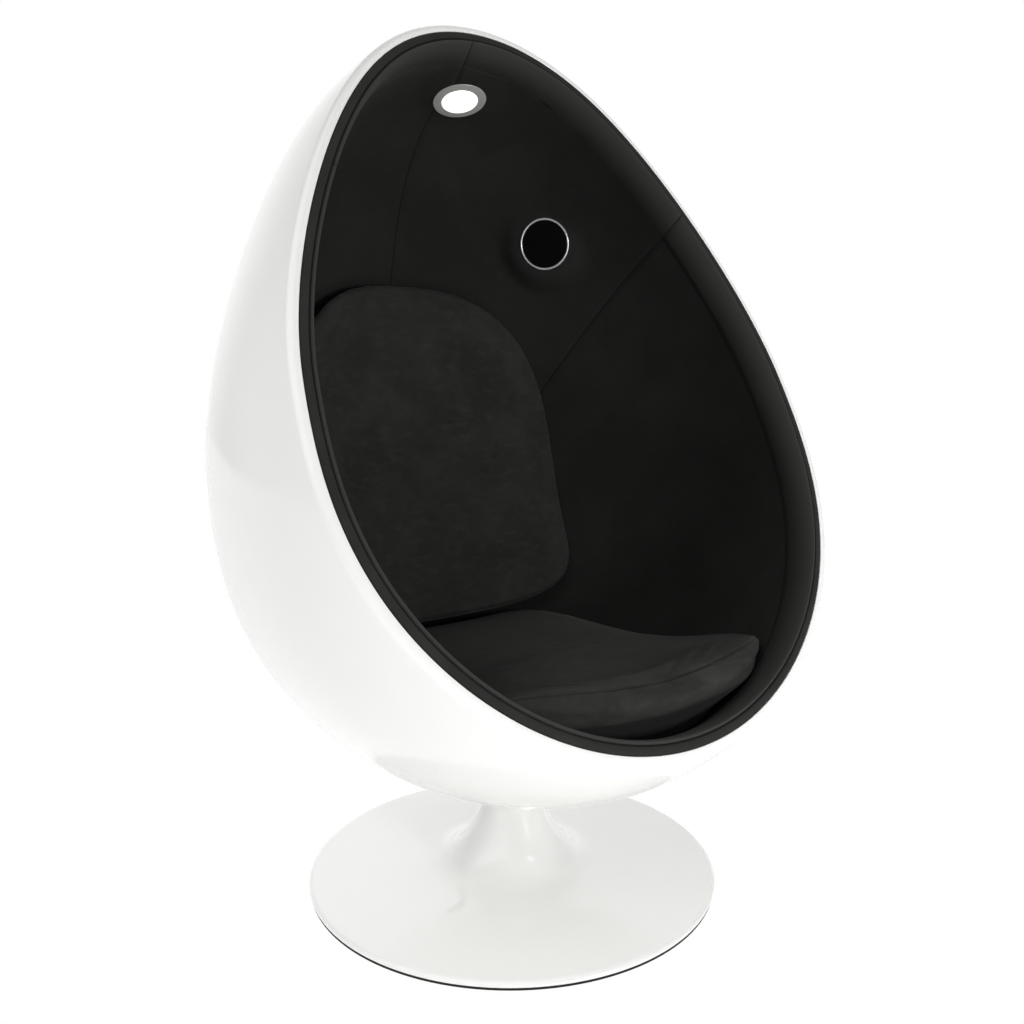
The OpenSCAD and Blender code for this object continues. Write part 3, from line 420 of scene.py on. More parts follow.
def lining_cloth():
    """Short-napped stretch cloth over foam, sewn from panels: fine dark seams in shallow valleys.

    Towards the opening, over the roll, it is painted a little paler as painted light, fading out at the
    roll's tail.
    """
    mat, tree, shader, place = start_material(
        "charcoal_stretch_cloth", **{
            "Roughness": 0.92, "IOR": 1.45, "Specular IOR Level": 0.12,
            "Sheen Weight": 0.06, "Sheen Roughness": 0.45, "Sheen Tint": linear("#C9C9C4")})
    tone, fine = cloth_colour(tree, place, "#232322", "#282827", "#1F1F1E", 143, 1.92)
    near, tuck, depth = seam_lines(tree, place)
    # Painted light: paler towards the opening over the roll, where light falls in, fading out at the roll's
    # tail.
    painted_rim_light = add(tree, "ShaderNodeMapRange", {
        "Value": depth, "From Min": -0.052, "From Max": 0.0, "To Min": 1.0, "To Max": 0.0},
        interpolation_type="SMOOTHSTEP")
    tone = add(tree, "ShaderNodeMix", {"Factor": painted_rim_light, "A": tone, "B": linear("#383837")}, data_type="RGBA")
    shade = 1.0
    # Seams and the crown's tuck are dark sewn lines; the wide soft darkening along the roll's tuck is painted
    # shade in its valley.
    for gap, low, high, darkest in (
            (near, 0.0004, 0.0016, 0.25), (tuck, 0.0, 0.009, 0.35), (tuck_line(tree, place), 0.4, 1.6, 0.1)):
        line = add(tree, "ShaderNodeMapRange", {
            "Value": gap, "From Min": low, "From Max": high, "To Min": darkest, "To Max": 1.0},
            interpolation_type="SMOOTHSTEP")
        shade = add(tree, "ShaderNodeMath", {0: shade, 1: line}, operation="MULTIPLY")
    add(tree, "ShaderNodeMix", {"Factor": shade, "A": linear("#0A0A0A"), "B": tone}, data_type="RGBA",
        to=shader.inputs["Base Color"])
    sunk = add(tree, "ShaderNodeMath", {0: near, 1: tuck}, operation="MINIMUM")
    valley = add(tree, "ShaderNodeMapRange", {
        "Value": sunk, "From Min": 0.0, "From Max": 0.008, "To Min": 0.0, "To Max": 1.0},
        interpolation_type="SMOOTHERSTEP")
    weave = add(tree, "ShaderNodeBump", {"Strength": 0.25, "Distance": 0.0006, "Height": fine})
    add(tree, "ShaderNodeBump", {"Strength": 0.6, "Distance": 0.0022, "Height": valley, "Normal": weave},
        to=shader.inputs["Normal"])
    return mat


def rim_cloth(name, base, light, dark):
    """Close-woven cloth pulled tight over the rim's trim: smoother than the lining, with a fine rib."""
    mat, tree, shader, place = start_material(
        name, **{
            "Roughness": 0.85, "IOR": 1.45, "Specular IOR Level": 0.2,
            "Sheen Weight": 0.05, "Sheen Roughness": 0.4, "Sheen Tint": linear("#C4C4C0")})
    tone, fine = cloth_colour(tree, place, base, light, dark, 71.4, 1.43)
    tree.links.new(live(tone), shader.inputs["Base Color"])
    add(tree, "ShaderNodeBump", {"Strength": 0.22, "Distance": 0.0005, "Height": fine},
        to=shader.inputs["Normal"])
    return mat


RUBBED_PLACE = (0.076, -0.338, 0.414)


def cushion_suede():
    """Microfibre suede: brushed patches where the nap lies one way or the other, and a soft bloom at edges.

    The strip below the seat's nose is darkened as painted shade, and one patch behind the nose is rubbed
    paler: the distance from its middle, made ragged by the brush strokes. The strokes are 8 mm wide and 33 mm
    long.
    """
    mat, tree, shader, place = start_material(
        "charcoal_microfibre_suede", **{
            "Roughness": 0.95, "IOR": 1.45, "Specular IOR Level": 0.15,
            "Sheen Weight": 0.1, "Sheen Roughness": 0.5, "Sheen Tint": linear("#D0D0CC")})
    tone, fine = cloth_colour(tree, place, "#2B2B2A", "#333332", "#262625", 90.9, 1.61)
    streak = add(tree, "ShaderNodeMapping", {
        "Vector": place, "Scale": (30.0, 120.0, 90.0), "Rotation": (0.2, 0.1, 0.45)})
    brushed = add(tree, "ShaderNodeTexNoise", {"Vector": streak, "Scale": 1.0, "Detail": 4.0})
    stroke = add(tree, "ShaderNodeMapRange", {
        "Value": brushed, "From Min": 0.5, "From Max": 0.75, "To Min": 0.0, "To Max": 0.5})
    off = add(tree, "ShaderNodeVectorMath", {0: place, 1: RUBBED_PLACE}, operation="DISTANCE")
    ragged = add(tree, "ShaderNodeMath", {0: brushed, 1: 0.03, 2: off}, operation="MULTIPLY_ADD")
    rubbed = add(tree, "ShaderNodeMapRange", {
        "Value": ragged, "From Min": 0.034, "From Max": 0.041, "To Min": 0.75, "To Max": 0.0})
    paler = add(tree, "ShaderNodeMath", {0: stroke, 1: rubbed}, operation="MAXIMUM")
    # The foot below the nose is darkened as painted shade; the seams are dark sewn lines.
    marks = (
        (paler, "#383837"),
        (add(tree, "ShaderNodeAttribute", attribute_name="shade_below_nose").outputs["Fac"], "#1B1B1B"),
        (add(tree, "ShaderNodeAttribute", attribute_name="seam").outputs["Fac"], "#101010"))
    for share, colour in marks:
        tone = add(tree, "ShaderNodeMix", {"Factor": share, "A": tone, "B": linear(colour)}, data_type="RGBA")
    tree.links.new(live(tone), shader.inputs["Base Color"])
    nap = add(tree, "ShaderNodeBump", {"Strength": 0.3, "Distance": 0.0006, "Height": fine})
    add(tree, "ShaderNodeBump", {"Strength": 0.15, "Distance": 0.003, "Height": brushed, "Normal": nap},
        to=shader.inputs["Normal"])
    return mat


def metal(name, colour, rough, grain, metallic=1.0, spread=0.06):
    """Bare, plated or lacquered metal: working marks so many millimetres apart, in roughness and bump."""
    mat, tree, shader, place = start_material(name, **{"Base Color": linear(colour), "Metallic": metallic})
    marks = add(tree, "ShaderNodeTexNoise", {
        "Vector": place, "Scale": 1000 / grain, "Detail": 4.0, "Roughness": 0.6})
    add(tree, "ShaderNodeMapRange", {
        "Value": marks, "From Min": 0.3, "From Max": 0.7,
        "To Min": rough - spread, "To Max": rough + spread}, to=shader.inputs["Roughness"])
    add(tree, "ShaderNodeBump", {"Strength": 0.1, "Distance": 0.0003, "Height": marks},
        to=shader.inputs["Normal"])
    return mat


def moulded(name, colour, rough, grain, strength=0.15):
    """Moulded plastic, pressed felt, or board painted near-black as painted shade: a fine even grain, in
    millimetres, over one colour.
    """
    mat, tree, shader, place = start_material(
        name, **{"Base Color": linear(colour), "Roughness": rough, "IOR": 1.5})
    marks = add(tree, "ShaderNodeTexNoise", {"Vector": place, "Scale": 1000 / grain, "Detail": 2.0})
    add(tree, "ShaderNodeBump", {"Strength": strength, "Distance": 0.0003, "Height": marks},
        to=shader.inputs["Normal"])
    return mat


def birch_ply():
    """Birch plywood, cut and sanded: pale face grain 11 mm wide, drawn out along the board."""
    mat, tree, shader, place = start_material("sanded_birch_ply", **{"Roughness": 0.55, "IOR": 1.5})
    along = add(tree, "ShaderNodeMapping", {"Vector": place, "Scale": (6.0, 90.0, 120.0)})
    grain = add(tree, "ShaderNodeTexNoise", {"Vector": along, "Scale": 1.0, "Detail": 6.0, "Distortion": 1.2})
    add(tree, "ShaderNodeMix", {"Factor": grain, "A": linear("#D9BE93"), "B": linear("#B8945F")},
        data_type="RGBA", to=shader.inputs["Base Color"])
    add(tree, "ShaderNodeBump", {"Strength": 0.15, "Distance": 0.0004, "Height": grain},
        to=shader.inputs["Normal"])
    return mat


def padding_foam():
    """Open-cell polyurethane foam: cream, with cells of a millimetre or so drawn 2.2 mm across."""
    mat, tree, shader, place = start_material("open_cell_foam", **{"Roughness": 0.95, "IOR": 1.4})
    cells = add(tree, "ShaderNodeTexVoronoi", {"Vector": place, "Scale": 1000 / 2.2})
    add(tree, "ShaderNodeMix", {"Factor": cells, "A": linear("#C9B98A"), "B": linear("#E2D6AC")},
        data_type="RGBA", to=shader.inputs["Base Color"])
    add(tree, "ShaderNodeBump", {"Strength": 0.5, "Distance": 0.001, "Height": cells},
        to=shader.inputs["Normal"])
    return mat


def speaker_mesh():
    """Black woven speaker mesh over a frame: small round openings 1.9 mm apart in a matt weave."""
    mat, tree, shader, place = start_material(
        "black_speaker_mesh", **{"Roughness": 0.8, "Specular IOR Level": 0.06})
    holes = add(tree, "ShaderNodeTexVoronoi", {"Vector": place, "Scale": 1000 / 1.92, "Randomness": 0.15})
    wire = add(tree, "ShaderNodeMapRange", {
        "Value": holes, "From Min": 0.25, "From Max": 0.55, "To Min": 0.0, "To Max": 1.0})
    add(tree, "ShaderNodeMix", {"Factor": wire, "A": linear("#020202"), "B": linear("#0A0A0A")},
        data_type="RGBA", to=shader.inputs["Base Color"])
    add(tree, "ShaderNodeBump", {"Strength": 0.7, "Distance": 0.0008, "Height": wire},
        to=shader.inputs["Normal"])
    return mat


def opal_diffuser():
    """Opal acrylic, moulded with a satin face and lit from behind: an even white glow."""
    mat, tree, shader, place = start_material(
        "opal_acrylic", **{
            "Base Color": linear("#F2F2EE"), "Roughness": 0.35, "IOR": 1.49,
            "Emission Color": linear("#FFFDF6"), "Emission Strength": 1.1})
    haze = add(tree, "ShaderNodeTexNoise", {"Vector": place, "Scale": 1000 / 1.25, "Detail": 1.0})
    add(tree, "ShaderNodeBump", {"Strength": 0.05, "Distance": 0.0002, "Height": haze},
        to=shader.inputs["Normal"])
    return mat


GEL_COAT = gel_coat()
LINING = lining_cloth()
BAND = rim_cloth("charcoal_band_cloth", "#272726", "#2C2C2B", "#232322")
PIPING = rim_cloth("black_piping_cloth", "#121212", "#161616", "#0E0E0E")
SUEDE = cushion_suede()
# The light's ring is sprayed silver and reads flat grey; the speakers' rings are plated and glint.
SILVER = metal("satin_silver_lacquer", "#B4B4B2", 0.4, 1.11, metallic=0.15)
CHROME = metal("satin_chrome_plate", "#DADADC", 0.3, 3.33, metallic=0.7, spread=0.03)
MESH = speaker_mesh()
OPAL = opal_diffuser()


def dress(obj, mat, body, *nodes, slot=None):
    """Gives a piece its material, hides the CAD nodes that it stands for and hangs it on the body that it
    rides on.
    """
    obj.data.materials.clear()
    obj.data.materials.append(mat)
    if nodes:
        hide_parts(*nodes)
    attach(obj, body)
    return obj


# The shell

def arc(centre, start, end, steps):
    """Points on a quarter of an ellipse, from one end to the other, about the corner's centre."""
    a = np.linspace(0, np.pi / 2, steps)[:, None]
    centre, start, end = (np.asarray(p, float) for p in (centre, start, end))
    return centre + (start - centre) * np.cos(a) + (end - centre) * np.sin(a)


def shell_rows():
    """The shell's section of [inset, depth]: from the back over the skin, round the lip and back inside."""
    far = deepest(np.array([0.0]))[0][0]
    near = deepest(np.array([SHELL_T]))[0][0]
    a = np.linspace(0, np.pi / 2, 96)
    skin_out = np.stack([0 * a, far - (far - 7) * (1 - np.cos(a))], -1)
    lip = np.concatenate([
        arc((6.5, 7), (0, 7), (6.5, 0), 12), arc((LIP_W - 2, 2), (LIP_W - 2, 0), (LIP_W, 2), 6)])
    inner = np.array([[LIP_W, 11.0], [LIP_W - 1, 12.5], [SHELL_T, 14.0]])
    b = np.linspace(np.pi / 2, 0, 48)
    skin_in = np.stack([SHELL_T + 0 * b, near - (near - 16) * (1 - np.cos(b))], -1)
    path = np.concatenate([skin_out, lip[1:], inner, skin_in])
    return opening_rings(path[:, 0], path[:, 1], even_turns(256))


shell = skin("shell", shell_rows())
dress(shell, GEL_COAT, "pod", "outer_shell", slot="gel_coat_white")


# The foot

def flare(q):
    """The foot's skin at a share q of its way out: a low dome plus a neck that falls off fast."""
    t = q ** 2
    neck = (NECK_Z - EDGE_H - DOME_H) * np.clip(1 - t ** 1.42, 0, None) ** 17.8
    return np.stack([NECK_R + (FOOT_R - NECK_R) * t, EDGE_H + DOME_H * (1 - t * t) + neck], -1)


def foot_rows():
    """The foot's section, closed: over the top, round the edge, in under it and up inside the neck."""
    top = flare(np.linspace(0, 0.985, 110))
    edge_r, edge_z = top[-1]
    side = arc((edge_r, 7.5), (edge_r, edge_z), (FOOT_R - 0.2, 7.5), 10)
    low = arc((FOOT_R - 4.2, 7.5), (FOOT_R - 0.2, 7.5), (FOOT_R - 4.2, GLIDE_H), 8)
    inside = flare(np.linspace(0.96, 0.17, 60)) - np.array([1.5, 6.0])
    inside = inside[inside[:, 1] < NECK_Z - 7]
    inside[:, 1] = np.maximum(inside[:, 1], GLIDE_H + 1)
    throat = np.array([[39.0, NECK_Z - 6], [POST_R, NECK_Z - 6], [POST_R, NECK_Z - 1], [POST_R + 1, NECK_Z]])
    rows = np.concatenate([top, side[1:], low[1:], [[FOOT_R - 17, GLIDE_H]], inside, throat])
    return turned(rows, 192)


foot = skin("foot", foot_rows(), closed_rows=True)
dress(foot, GEL_COAT, "base", "base_trumpet", slot="gel_coat_white")


# The lining

def raised(points, place, face, flat_r, foot_r, side=1):
    """Brings the wall up to a round face: inside flat_r it lies in the face, and it eases back by foot_r."""
    mirror = np.array([side, 1, 1])
    q = (points * mirror - place) @ face
    off = np.hypot(q[..., 0], q[..., 1])
    share = 1 - soft_step(off, flat_r, foot_r)
    q[..., 2] = np.where(q[..., 2] < 0, q[..., 2] * (1 - share), q[..., 2])
    return (q @ face.T + place) * mirror


def clear_of_faces(points):
    """True for points that don't lie in the round cut-outs behind the light and the speakers."""
    ok = np.linalg.norm(points - LIGHT_PLACE, axis=-1) > 35
    for side in (1, -1):
        ok &= np.linalg.norm(points - SPEAKER_PLACE * np.array([side, 1, 1]), axis=-1) > 36
    return ok & (points[..., 2] > BOARD_TOP + LIFT + 0.1)


def lining_rows():
    """The lining's rows, from under the roll's tail to the back, brought up to the light and the speakers."""
    far = deepest(np.array([ROOM_IN]))[0][0]
    a = np.linspace(np.pi / 2, 0, 150)
    depth = far - (far - ROLL_DEEP - 0.3) * (1 - np.cos(a))
    depth = np.concatenate([[ROLL_DEEP - 6, ROLL_DEEP - 3], depth])
    inset = np.full(len(depth), ROOM_IN)
    inset[:2] = ROOM_IN - 0.45, ROOM_IN - 0.2
    rows = opening_rings(inset, depth, even_turns(300))
    rows = raised(rows, LIGHT_PLACE, LIGHT_FACE, 46, 105)
    for side in (1, -1):
        rows = raised(rows, SPEAKER_PLACE, SPEAKER_FACE, 53, 92, side)
    rows[..., 2] = np.maximum(rows[..., 2], BOARD_TOP + LIFT)
    return rows


lining = skin("lining", lining_rows(), facing=(0, -100, 800), keep=clear_of_faces)
wall = lining.modifiers.new("wall", "SOLIDIFY")
wall.thickness = LINING_T / 1000
wall.offset = -1
dress(lining, LINING, "pod", "lining_back_left", "lining_back_right", "lining_side_left", "lining_side_right",
      slot="lining_cloth")


# The trim round the opening

JOINT_TURN = np.radians(62.0)
JOINT_WIDE = 0.0009
RIM_TURNS = np.unique(np.round(np.concatenate([
    even_turns(360), JOINT_TURN + np.array([-0.004, -0.0012, -0.0005, 0, 0.0005, 0.0012, 0.004])]), 7))


def rim_rows(section, deep=0.0):
    """Sweeps a section of [inset, depth] round the opening, sunk at the butt joint as a bell curve."""
    rows = opening_rings(section[:, 0], section[:, 1], RIM_TURNS)
    if deep:
        back = opening_rings(section[:, 0], section[:, 1] + deep, RIM_TURNS)
        share = np.exp(-((RIM_TURNS - JOINT_TURN) / JOINT_WIDE) ** 2)[None, :, None]
        rows = rows + (back - rows) * share
    return rows


def band_section():
    """The flat band: a strip of covered board with soft edges, closed."""
    low, high, soft = BAND_IN, BAND_IN + BAND_W, 1.8
    share = np.linspace(0, 1, 9)
    front = np.stack([low + soft + (BAND_W - 2 * soft) * share, -1.5 - 0.4 * np.sin(np.pi * share)], -1)
    return np.concatenate([
        [[low, 8.8], [low, 4.0]], arc((low + soft, 0.5), (low, 0.5), (low + soft, -1.5), 6), front[1:-1],
        arc((high - soft, 0.5), (high - soft, -1.5), (high, 0.5), 6), [[high, 4.0], [high, 8.8]]])


def piping_section():
    """A thin covered cord: a circle, sunk between the band and the roll so that it reads as one dark line."""
    a = np.arange(14) * 2 * np.pi / 14
    r = PIPING_D / 2
    return np.stack([PIPING_IN + r * np.cos(a), r * np.sin(a) + 0.6], -1)


def roll_section():
    """The padded roll: up from the piping, over a shoulder and down a long slope that dies into the lining.

    The slope is a cubic curve, flat at the shoulder and in line with the wall at the tail, which runs on
    under the lining. The section is closed along the shell.
    """
    t = np.linspace(0, 1, 28)[:, None]
    p0, p1, p2, p3 = np.array([
        [ROLL_IN + 1.5, -3], [ROLL_IN + 4.5, -3], [ROOM_IN - 0.6, 26], [ROOM_IN + 0.06, ROLL_DEEP]])
    slope = (1 - t) ** 3 * p0 + 3 * t * (1 - t) ** 2 * p1 + 3 * t * t * (1 - t) * p2 + t ** 3 * p3
    rise = arc((ROLL_IN + 1.5, -0.5), (ROLL_IN, -0.5), (ROLL_IN + 1.5, -3), 6)
    tail = np.array([[0.03, 2], [-0.06, 4], [-0.25, 5.5], [-0.8, 7], [-2.0, 7]]) + [ROOM_IN, ROLL_DEEP]
    rear = SHELL_T + 1
    back = np.array([[rear, 50.0], [rear, 30.0], [rear, 13.2], [ROLL_IN, 12.6], [ROLL_IN, 4.0]])
    return np.concatenate([rise, slope[1:], tail, back])


band = skin("rim_band_cloth", rim_rows(band_section(), 1.2), closed_rows=True)
dress(band, BAND, "pod", "rim_band", slot="rim_cloth")
piping = skin("rim_piping_cord", rim_rows(piping_section()), closed_rows=True)
dress(piping, PIPING, "pod", "rim_piping", slot="piping_cloth")
roll = skin("rim_roll_cloth", rim_rows(roll_section()), closed_rows=True)
dress(roll, LINING, "pod", "rim_roll", slot="rim_cloth")


# The cushions

SEAT_FRONT, SEAT_SIDE, SEAT_BACK, SEAT_MID = 416.0, 345.0, 362.0, 397.0
SEAT_RIDGE, NOSE_OUT, NOSE_DROP, SEAM_Y = 6.0, 37.0, 26.0, 343.0
SEAT_Y = -80.0
SEAT_COLUMNS = 168
FOOT_ROW, NOSE_ROW, SEAM_ROW = 4, 5, 8
SEAM_DEEP, SEAM_WIDE = 1.6, 2.6
WALL_GAP = 0.4
# The edge's height over the side's by plan direction in degrees, as a share of the front's and of the back's
FRONT_EDGE = np.array([
    [0, 0.92], [21, 1.01], [30, 1.09], [40, 1.16], [47, 1.14], [56, 0.96], [62, 0.86], [70, 0.72],
    [84, 0.28], [100, 0]])
BACK_EDGE = np.array([
    [100, 0], [118, 0.5], [131, 1.4], [141, 1.9], [150, 2], [160, 1.5], [170, 1.1], [180, 1]])


def seat_edge_z(a):
    """Height of the seat cushion's edge by its plan direction, from the front round to the back, smoothed."""
    fine = np.arange(-30, 211)
    turn = np.abs(np.where(fine > 180, 360 - fine, fine))
    share = (SEAT_FRONT - SEAT_SIDE) * np.interp(turn, *FRONT_EDGE.T)
    share = share + (SEAT_BACK - SEAT_SIDE) * np.interp(turn, *BACK_EDGE.T)
    weight = np.hanning(17)
    smooth = np.convolve(share, weight / weight.sum(), "same")
    b = np.degrees(np.arccos(np.clip(np.cos(a), -1, 1)))
    return SEAT_SIDE + np.interp(b, fine, smooth)


def seat_reach(a, z, front_y, corner):
    """Plan distance from the cushion's middle to its edge: the wall, or a front line, whichever is nearer.

    The two meet in a rounded corner, as the smooth minimum of two lengths; a high power keeps it square.
    """
    mid = np.stack([0 * z, 0 * z + SEAT_Y, z], -1)
    way = np.stack([np.sin(a) + 0 * z, -np.cos(a) + 0 * z, 0 * z], -1)

    def inside(t):
        q = to_egg(mid + way * t[..., None])
        return egg_radius(q[..., 2], ROOM_IN) > np.hypot(q[..., 0], q[..., 1])

    wall = halve(inside, 0 * z, 0 * z + 1100) - 0.8
    front = np.where(np.cos(a) > 0.02, (front_y + SEAT_Y) / np.maximum(np.cos(a), 0.02), 1150.0)
    return ((wall / front) ** -corner + 1) ** (-1 / corner) * front


def seat_rows():
    """Rows of the seat cushion from its underside up the foot, round the nose and seam and over the crown.

    The nose bulges at the middle of the front as a cosine. The crown dips as the cube of the way out, with a
    padded ridge behind the front seam. Each low row says: its least height as a share of the edge's, whether
    it follows the edge, less how many nose drops, how far it stands ahead of the seam, its share of the
    bulge, how far it is drawn in, and how square its corner is.
    """
    a = even_turns(SEAT_COLUMNS)
    foot = BOARD_TOP + LIFT
    edge = seat_edge_z(a)
    b = np.abs(np.where(a > np.pi, 2 * np.pi - a, a))
    bulge = NOSE_OUT * np.clip(np.cos(np.minimum(np.pi / 2, 2 * b)), 0, 1) ** 0.7
    rows = []
    for low, whole, drop, ahead, out, draw, corner in (
            (0, 0, 0, 6, 0, 0.3, 30), (0, 0, 0, 6, 0, 0.7, 30), (0, 0, 0, 6, 0, 0.985, 30),
            (0.08, 0, 0, 6, 0, 1, 30), (0.3, 1, 1.5, 6, 0, 0.995, 30), (0.42, 1, 1, 2, 0.85, 1, 9),
            (0.62, 1, 0.55, 2, 1, 1, 9), (0.82, 1, 0.2, 0, 0.55, 1, 7), (1, 1, 0, 0, 0, 0.985, 7)):
        z = foot + np.maximum(low * (edge - foot), whole * (edge - foot) - drop * NOSE_DROP)
        r = seat_reach(a, z, SEAM_Y + ahead + out * bulge, corner) * draw
        rows.append(np.stack([r * np.sin(a), SEAT_Y - r * np.cos(a), z], -1))
    for q in (0.945, 0.88, 0.75, 0.55, 0.3, 0.12):
        ridge = SEAT_RIDGE * np.clip(1.6 * np.cos(a), 0, 1) * np.sin(np.pi * max(0, (q - 0.8) / 0.2))
        z = SEAT_MID + (edge - SEAT_MID) * q ** 3 + ridge
        r = seat_reach(a, z, SEAM_Y, 7) * q
        rows.append(np.stack([r * np.sin(a), SEAT_Y - r * np.cos(a), z], -1))
    return np.array(rows)


def closed_form(name, rows, first, last):
    """A closed mesh over rows that each close round, with a point at both ends; -1 fills up a triangle."""
    count, cols = rows.shape[:2]
    verts = np.concatenate([rows.reshape(-1, 3), [first, last]])
    faces = grid_faces(count, cols)
    k = np.arange(cols)
    m = (k + 1) % cols
    low = np.stack([k * 0 + count * cols, m, k, k * 0 - 1], -1)
    base = (count - 1) * cols
    high = np.stack([k * 0 + count * cols + 1, base + k, base + m, k * 0 - 1], -1)
    return put_mesh(name, verts, np.concatenate([faces, low, high]))


def coords(obj):
    """The piece's points in millimetres."""
    out = np.empty(len(obj.data.vertices) * 3, np.float32)
    obj.data.vertices.foreach_get("co", out)
    return out.reshape(-1, 3).astype(float) * 1000


def set_coords(obj, points):
    """Puts points in millimetres back into the piece."""
    obj.data.vertices.foreach_set("co", (points / 1000).astype(np.float32).ravel())
    obj.data.update()


def nearest(points, line):
    """Distance of each point from a closed line of points, measured to the line's short stretches."""
    out = np.full(len(points), 1e9)
    start, way = line, np.roll(line, -1, 0) - line
    size = (way ** 2).sum(1)
    for p, w, n in zip(start, way, size):
        t = np.clip(((points - p) @ w) / n, 0, 1)
        out = np.minimum(out, ((points - p - t[:, None] * w) ** 2).sum(1))
    return np.sqrt(out)


PRESSURE, FRAMES, VOXEL = 4.0, 20, 0.006


def plump(obj, seams, cap):
    """Blows the cushion up against its sewn seams, as cloth under pressure, up to a cap in millimetres."""
    cut = obj.modifiers.new("even", "REMESH")
    cut.mode = "VOXEL"
    cut.voxel_size = VOXEL
    settle(obj)
    start = coords(obj)
    gap = np.minimum.reduce([nearest(start, line) for line in seams])
    group = obj.vertex_groups.new(name="sewn")
    for i in np.nonzero(gap < 5.0)[0].tolist():
        group.add([i], 1.0, "REPLACE")
    cloth = obj.modifiers.new("cloth", "CLOTH")
    cloth.settings.vertex_group_mass = "sewn"
    cloth.settings.use_pressure = True
    cloth.settings.uniform_pressure_force = PRESSURE
    cloth.settings.effector_weights.gravity = 0
    cloth.settings.quality = 4
    for i in range(1, FRAMES + 1):
        scene.frame_set(i)
    settle(obj)
    scene.frame_set(1)
    now = coords(obj)
    move = now - start
    far = np.linalg.norm(move, axis=1, keepdims=True)
    set_coords(obj, start + move * np.minimum(1, cap / np.maximum(far, 1e-6)))
    return obj


def hold_in(points, inset):
    """Keeps points inside the drawn-in egg, pushed straight in towards its axis."""
    q = to_egg(points)
    r = np.hypot(q[:, 0], q[:, 1])
    most = egg_radius(q[:, 2], inset)
    share = np.minimum(1, most / np.maximum(r, 1e-6))[:, None]
    q[:, :2] *= share
    return to_chair(q)


def finish_cushion(obj, seams, hold):
    """Subdivides the cushion, presses the seams in, marks them and keeps the cushion clear of the wall.

    A seam is a bell-shaped groove with a lower bell-shaped lip beside it, by the distance from the sewn line.
    """
    fine = obj.modifiers.new("fine", "SUBSURF")
    fine.levels = fine.render_levels = 1
    settle(obj)
    points = coords(obj)
    gap = np.minimum.reduce([nearest(points, line) for line in seams])
    normals = np.empty(len(points) * 3, np.float32)
    obj.data.vertices.foreach_get("normal", normals)
    normals = normals.reshape(-1, 3)
    share = gap / SEAM_WIDE
    sink = SEAM_DEEP * (np.exp(-share ** 2) - 0.35 * np.exp(-(share - 2.2) ** 2))
    points = points - normals * sink[:, None]
    set_coords(obj, hold(points))
    mark = obj.data.attributes.new("seam", "FLOAT", "POINT")
    mark.data.foreach_set("value", (0.85 * np.exp(-(share / 0.55) ** 2)).astype(np.float32))
    obj.data.shade_smooth()


def seat_cushion():
    """The seat cushion: plumped between the seam round its top and those round its nose and its foot.

    Its below-nose attribute is 1 on the foot, under the height of the foot's top row in each plan direction;
    the suede darkens the foot there as painted shade.
    """
    rows = seat_rows()
    obj = closed_form(
        "seat_cushion_suede", smooth_rows(rows, 4), [0, SEAT_Y, BOARD_TOP + LIFT], [0, SEAT_Y, SEAT_MID])
    plump(obj, [rows[SEAM_ROW], rows[NOSE_ROW], rows[FOOT_ROW]], 6.0)

    def hold(points):
        points = hold_in(points, ROOM_IN + WALL_GAP)
        points[:, 2] = np.maximum(points[:, 2], BOARD_TOP + LIFT)
        return points

    finish_cushion(obj, [rows[SEAM_ROW]], hold)
    points = coords(obj)
    way = np.arctan2(points[:, 0], SEAT_Y - points[:, 1])
    level = np.interp(way, even_turns(SEAT_COLUMNS), rows[FOOT_ROW][:, 2], period=2 * np.pi)
    below = obj.data.attributes.new("shade_below_nose", "FLOAT", "POINT")
    below.data.foreach_set("value", np.clip((level - points[:, 2]) / 3.0 + 0.5, 0, 1).astype(np.float32))
    return obj


seat = seat_cushion()
dress(seat, SUEDE, "pod", "seat_cushion", slot="cushion_suede")


BACK_HALF, BACK_UP, BACK_DOWN, BACK_STATION = 265.0, 362.0, 212.0, -40.0
BACK_EDGE_T, BACK_CROWN_T = 42.0, 40.0
WALL_ROW, FACE_ROW = 4, 6


def back_outline(b, q):
    """The back cushion's outline as side offset and station: a superellipse, squarer below than above."""
    power = np.where(np.cos(b) > 0, 2.4, 5.0)
    size = np.where(np.cos(b) > 0, BACK_UP, BACK_DOWN)
    r = (np.abs(np.sin(b)) ** power + np.abs(np.cos(b)) ** power) ** (-1 / power)
    return BACK_HALF * r * np.sin(b) * q, BACK_STATION + size * r * np.cos(b) * q


def back_rows():
    """Rows of the back cushion from the wall round its edge, then over its crown, a power of the way in."""
    b = even_turns(180)
    rows = []
    near = ROOM_IN + 0.5
    for q, share in ((0.25, 0), (0.5, 0), (0.75, 0), (0.94, 0), (0.985, 0.25), (1, 0.6), (0.99, 1)):
        x, s = back_outline(b, q)
        rows.append(wall_point(x, s, near + BACK_EDGE_T * share))
    for q in (0.93, 0.8, 0.6, 0.33, 0.12):
        x, s = back_outline(b, q)
        rows.append(wall_point(x, s, near + BACK_EDGE_T + BACK_CROWN_T * (1 - q * q) ** 0.8))
    return np.array(rows)


def back_cushion():
    """The back cushion: plumped between its front seam and the seam at the wall."""
    rows = back_rows()
    middle, near = (np.array(0.0), np.array(BACK_STATION)), ROOM_IN + 0.5
    first, last = wall_point(*middle, near), wall_point(*middle, near + BACK_EDGE_T + BACK_CROWN_T)
    obj = closed_form("back_cushion_suede", smooth_rows(rows, 4), first, last)
    plump(obj, [rows[FACE_ROW], rows[WALL_ROW]], 8.0)
    finish_cushion(obj, [rows[FACE_ROW]], lambda points: hold_in(points, ROOM_IN + WALL_GAP))
    return obj


back = back_cushion()
dress(back, SUEDE, "pod", "back_cushion", slot="cushion_suede")


# The light and the speakers

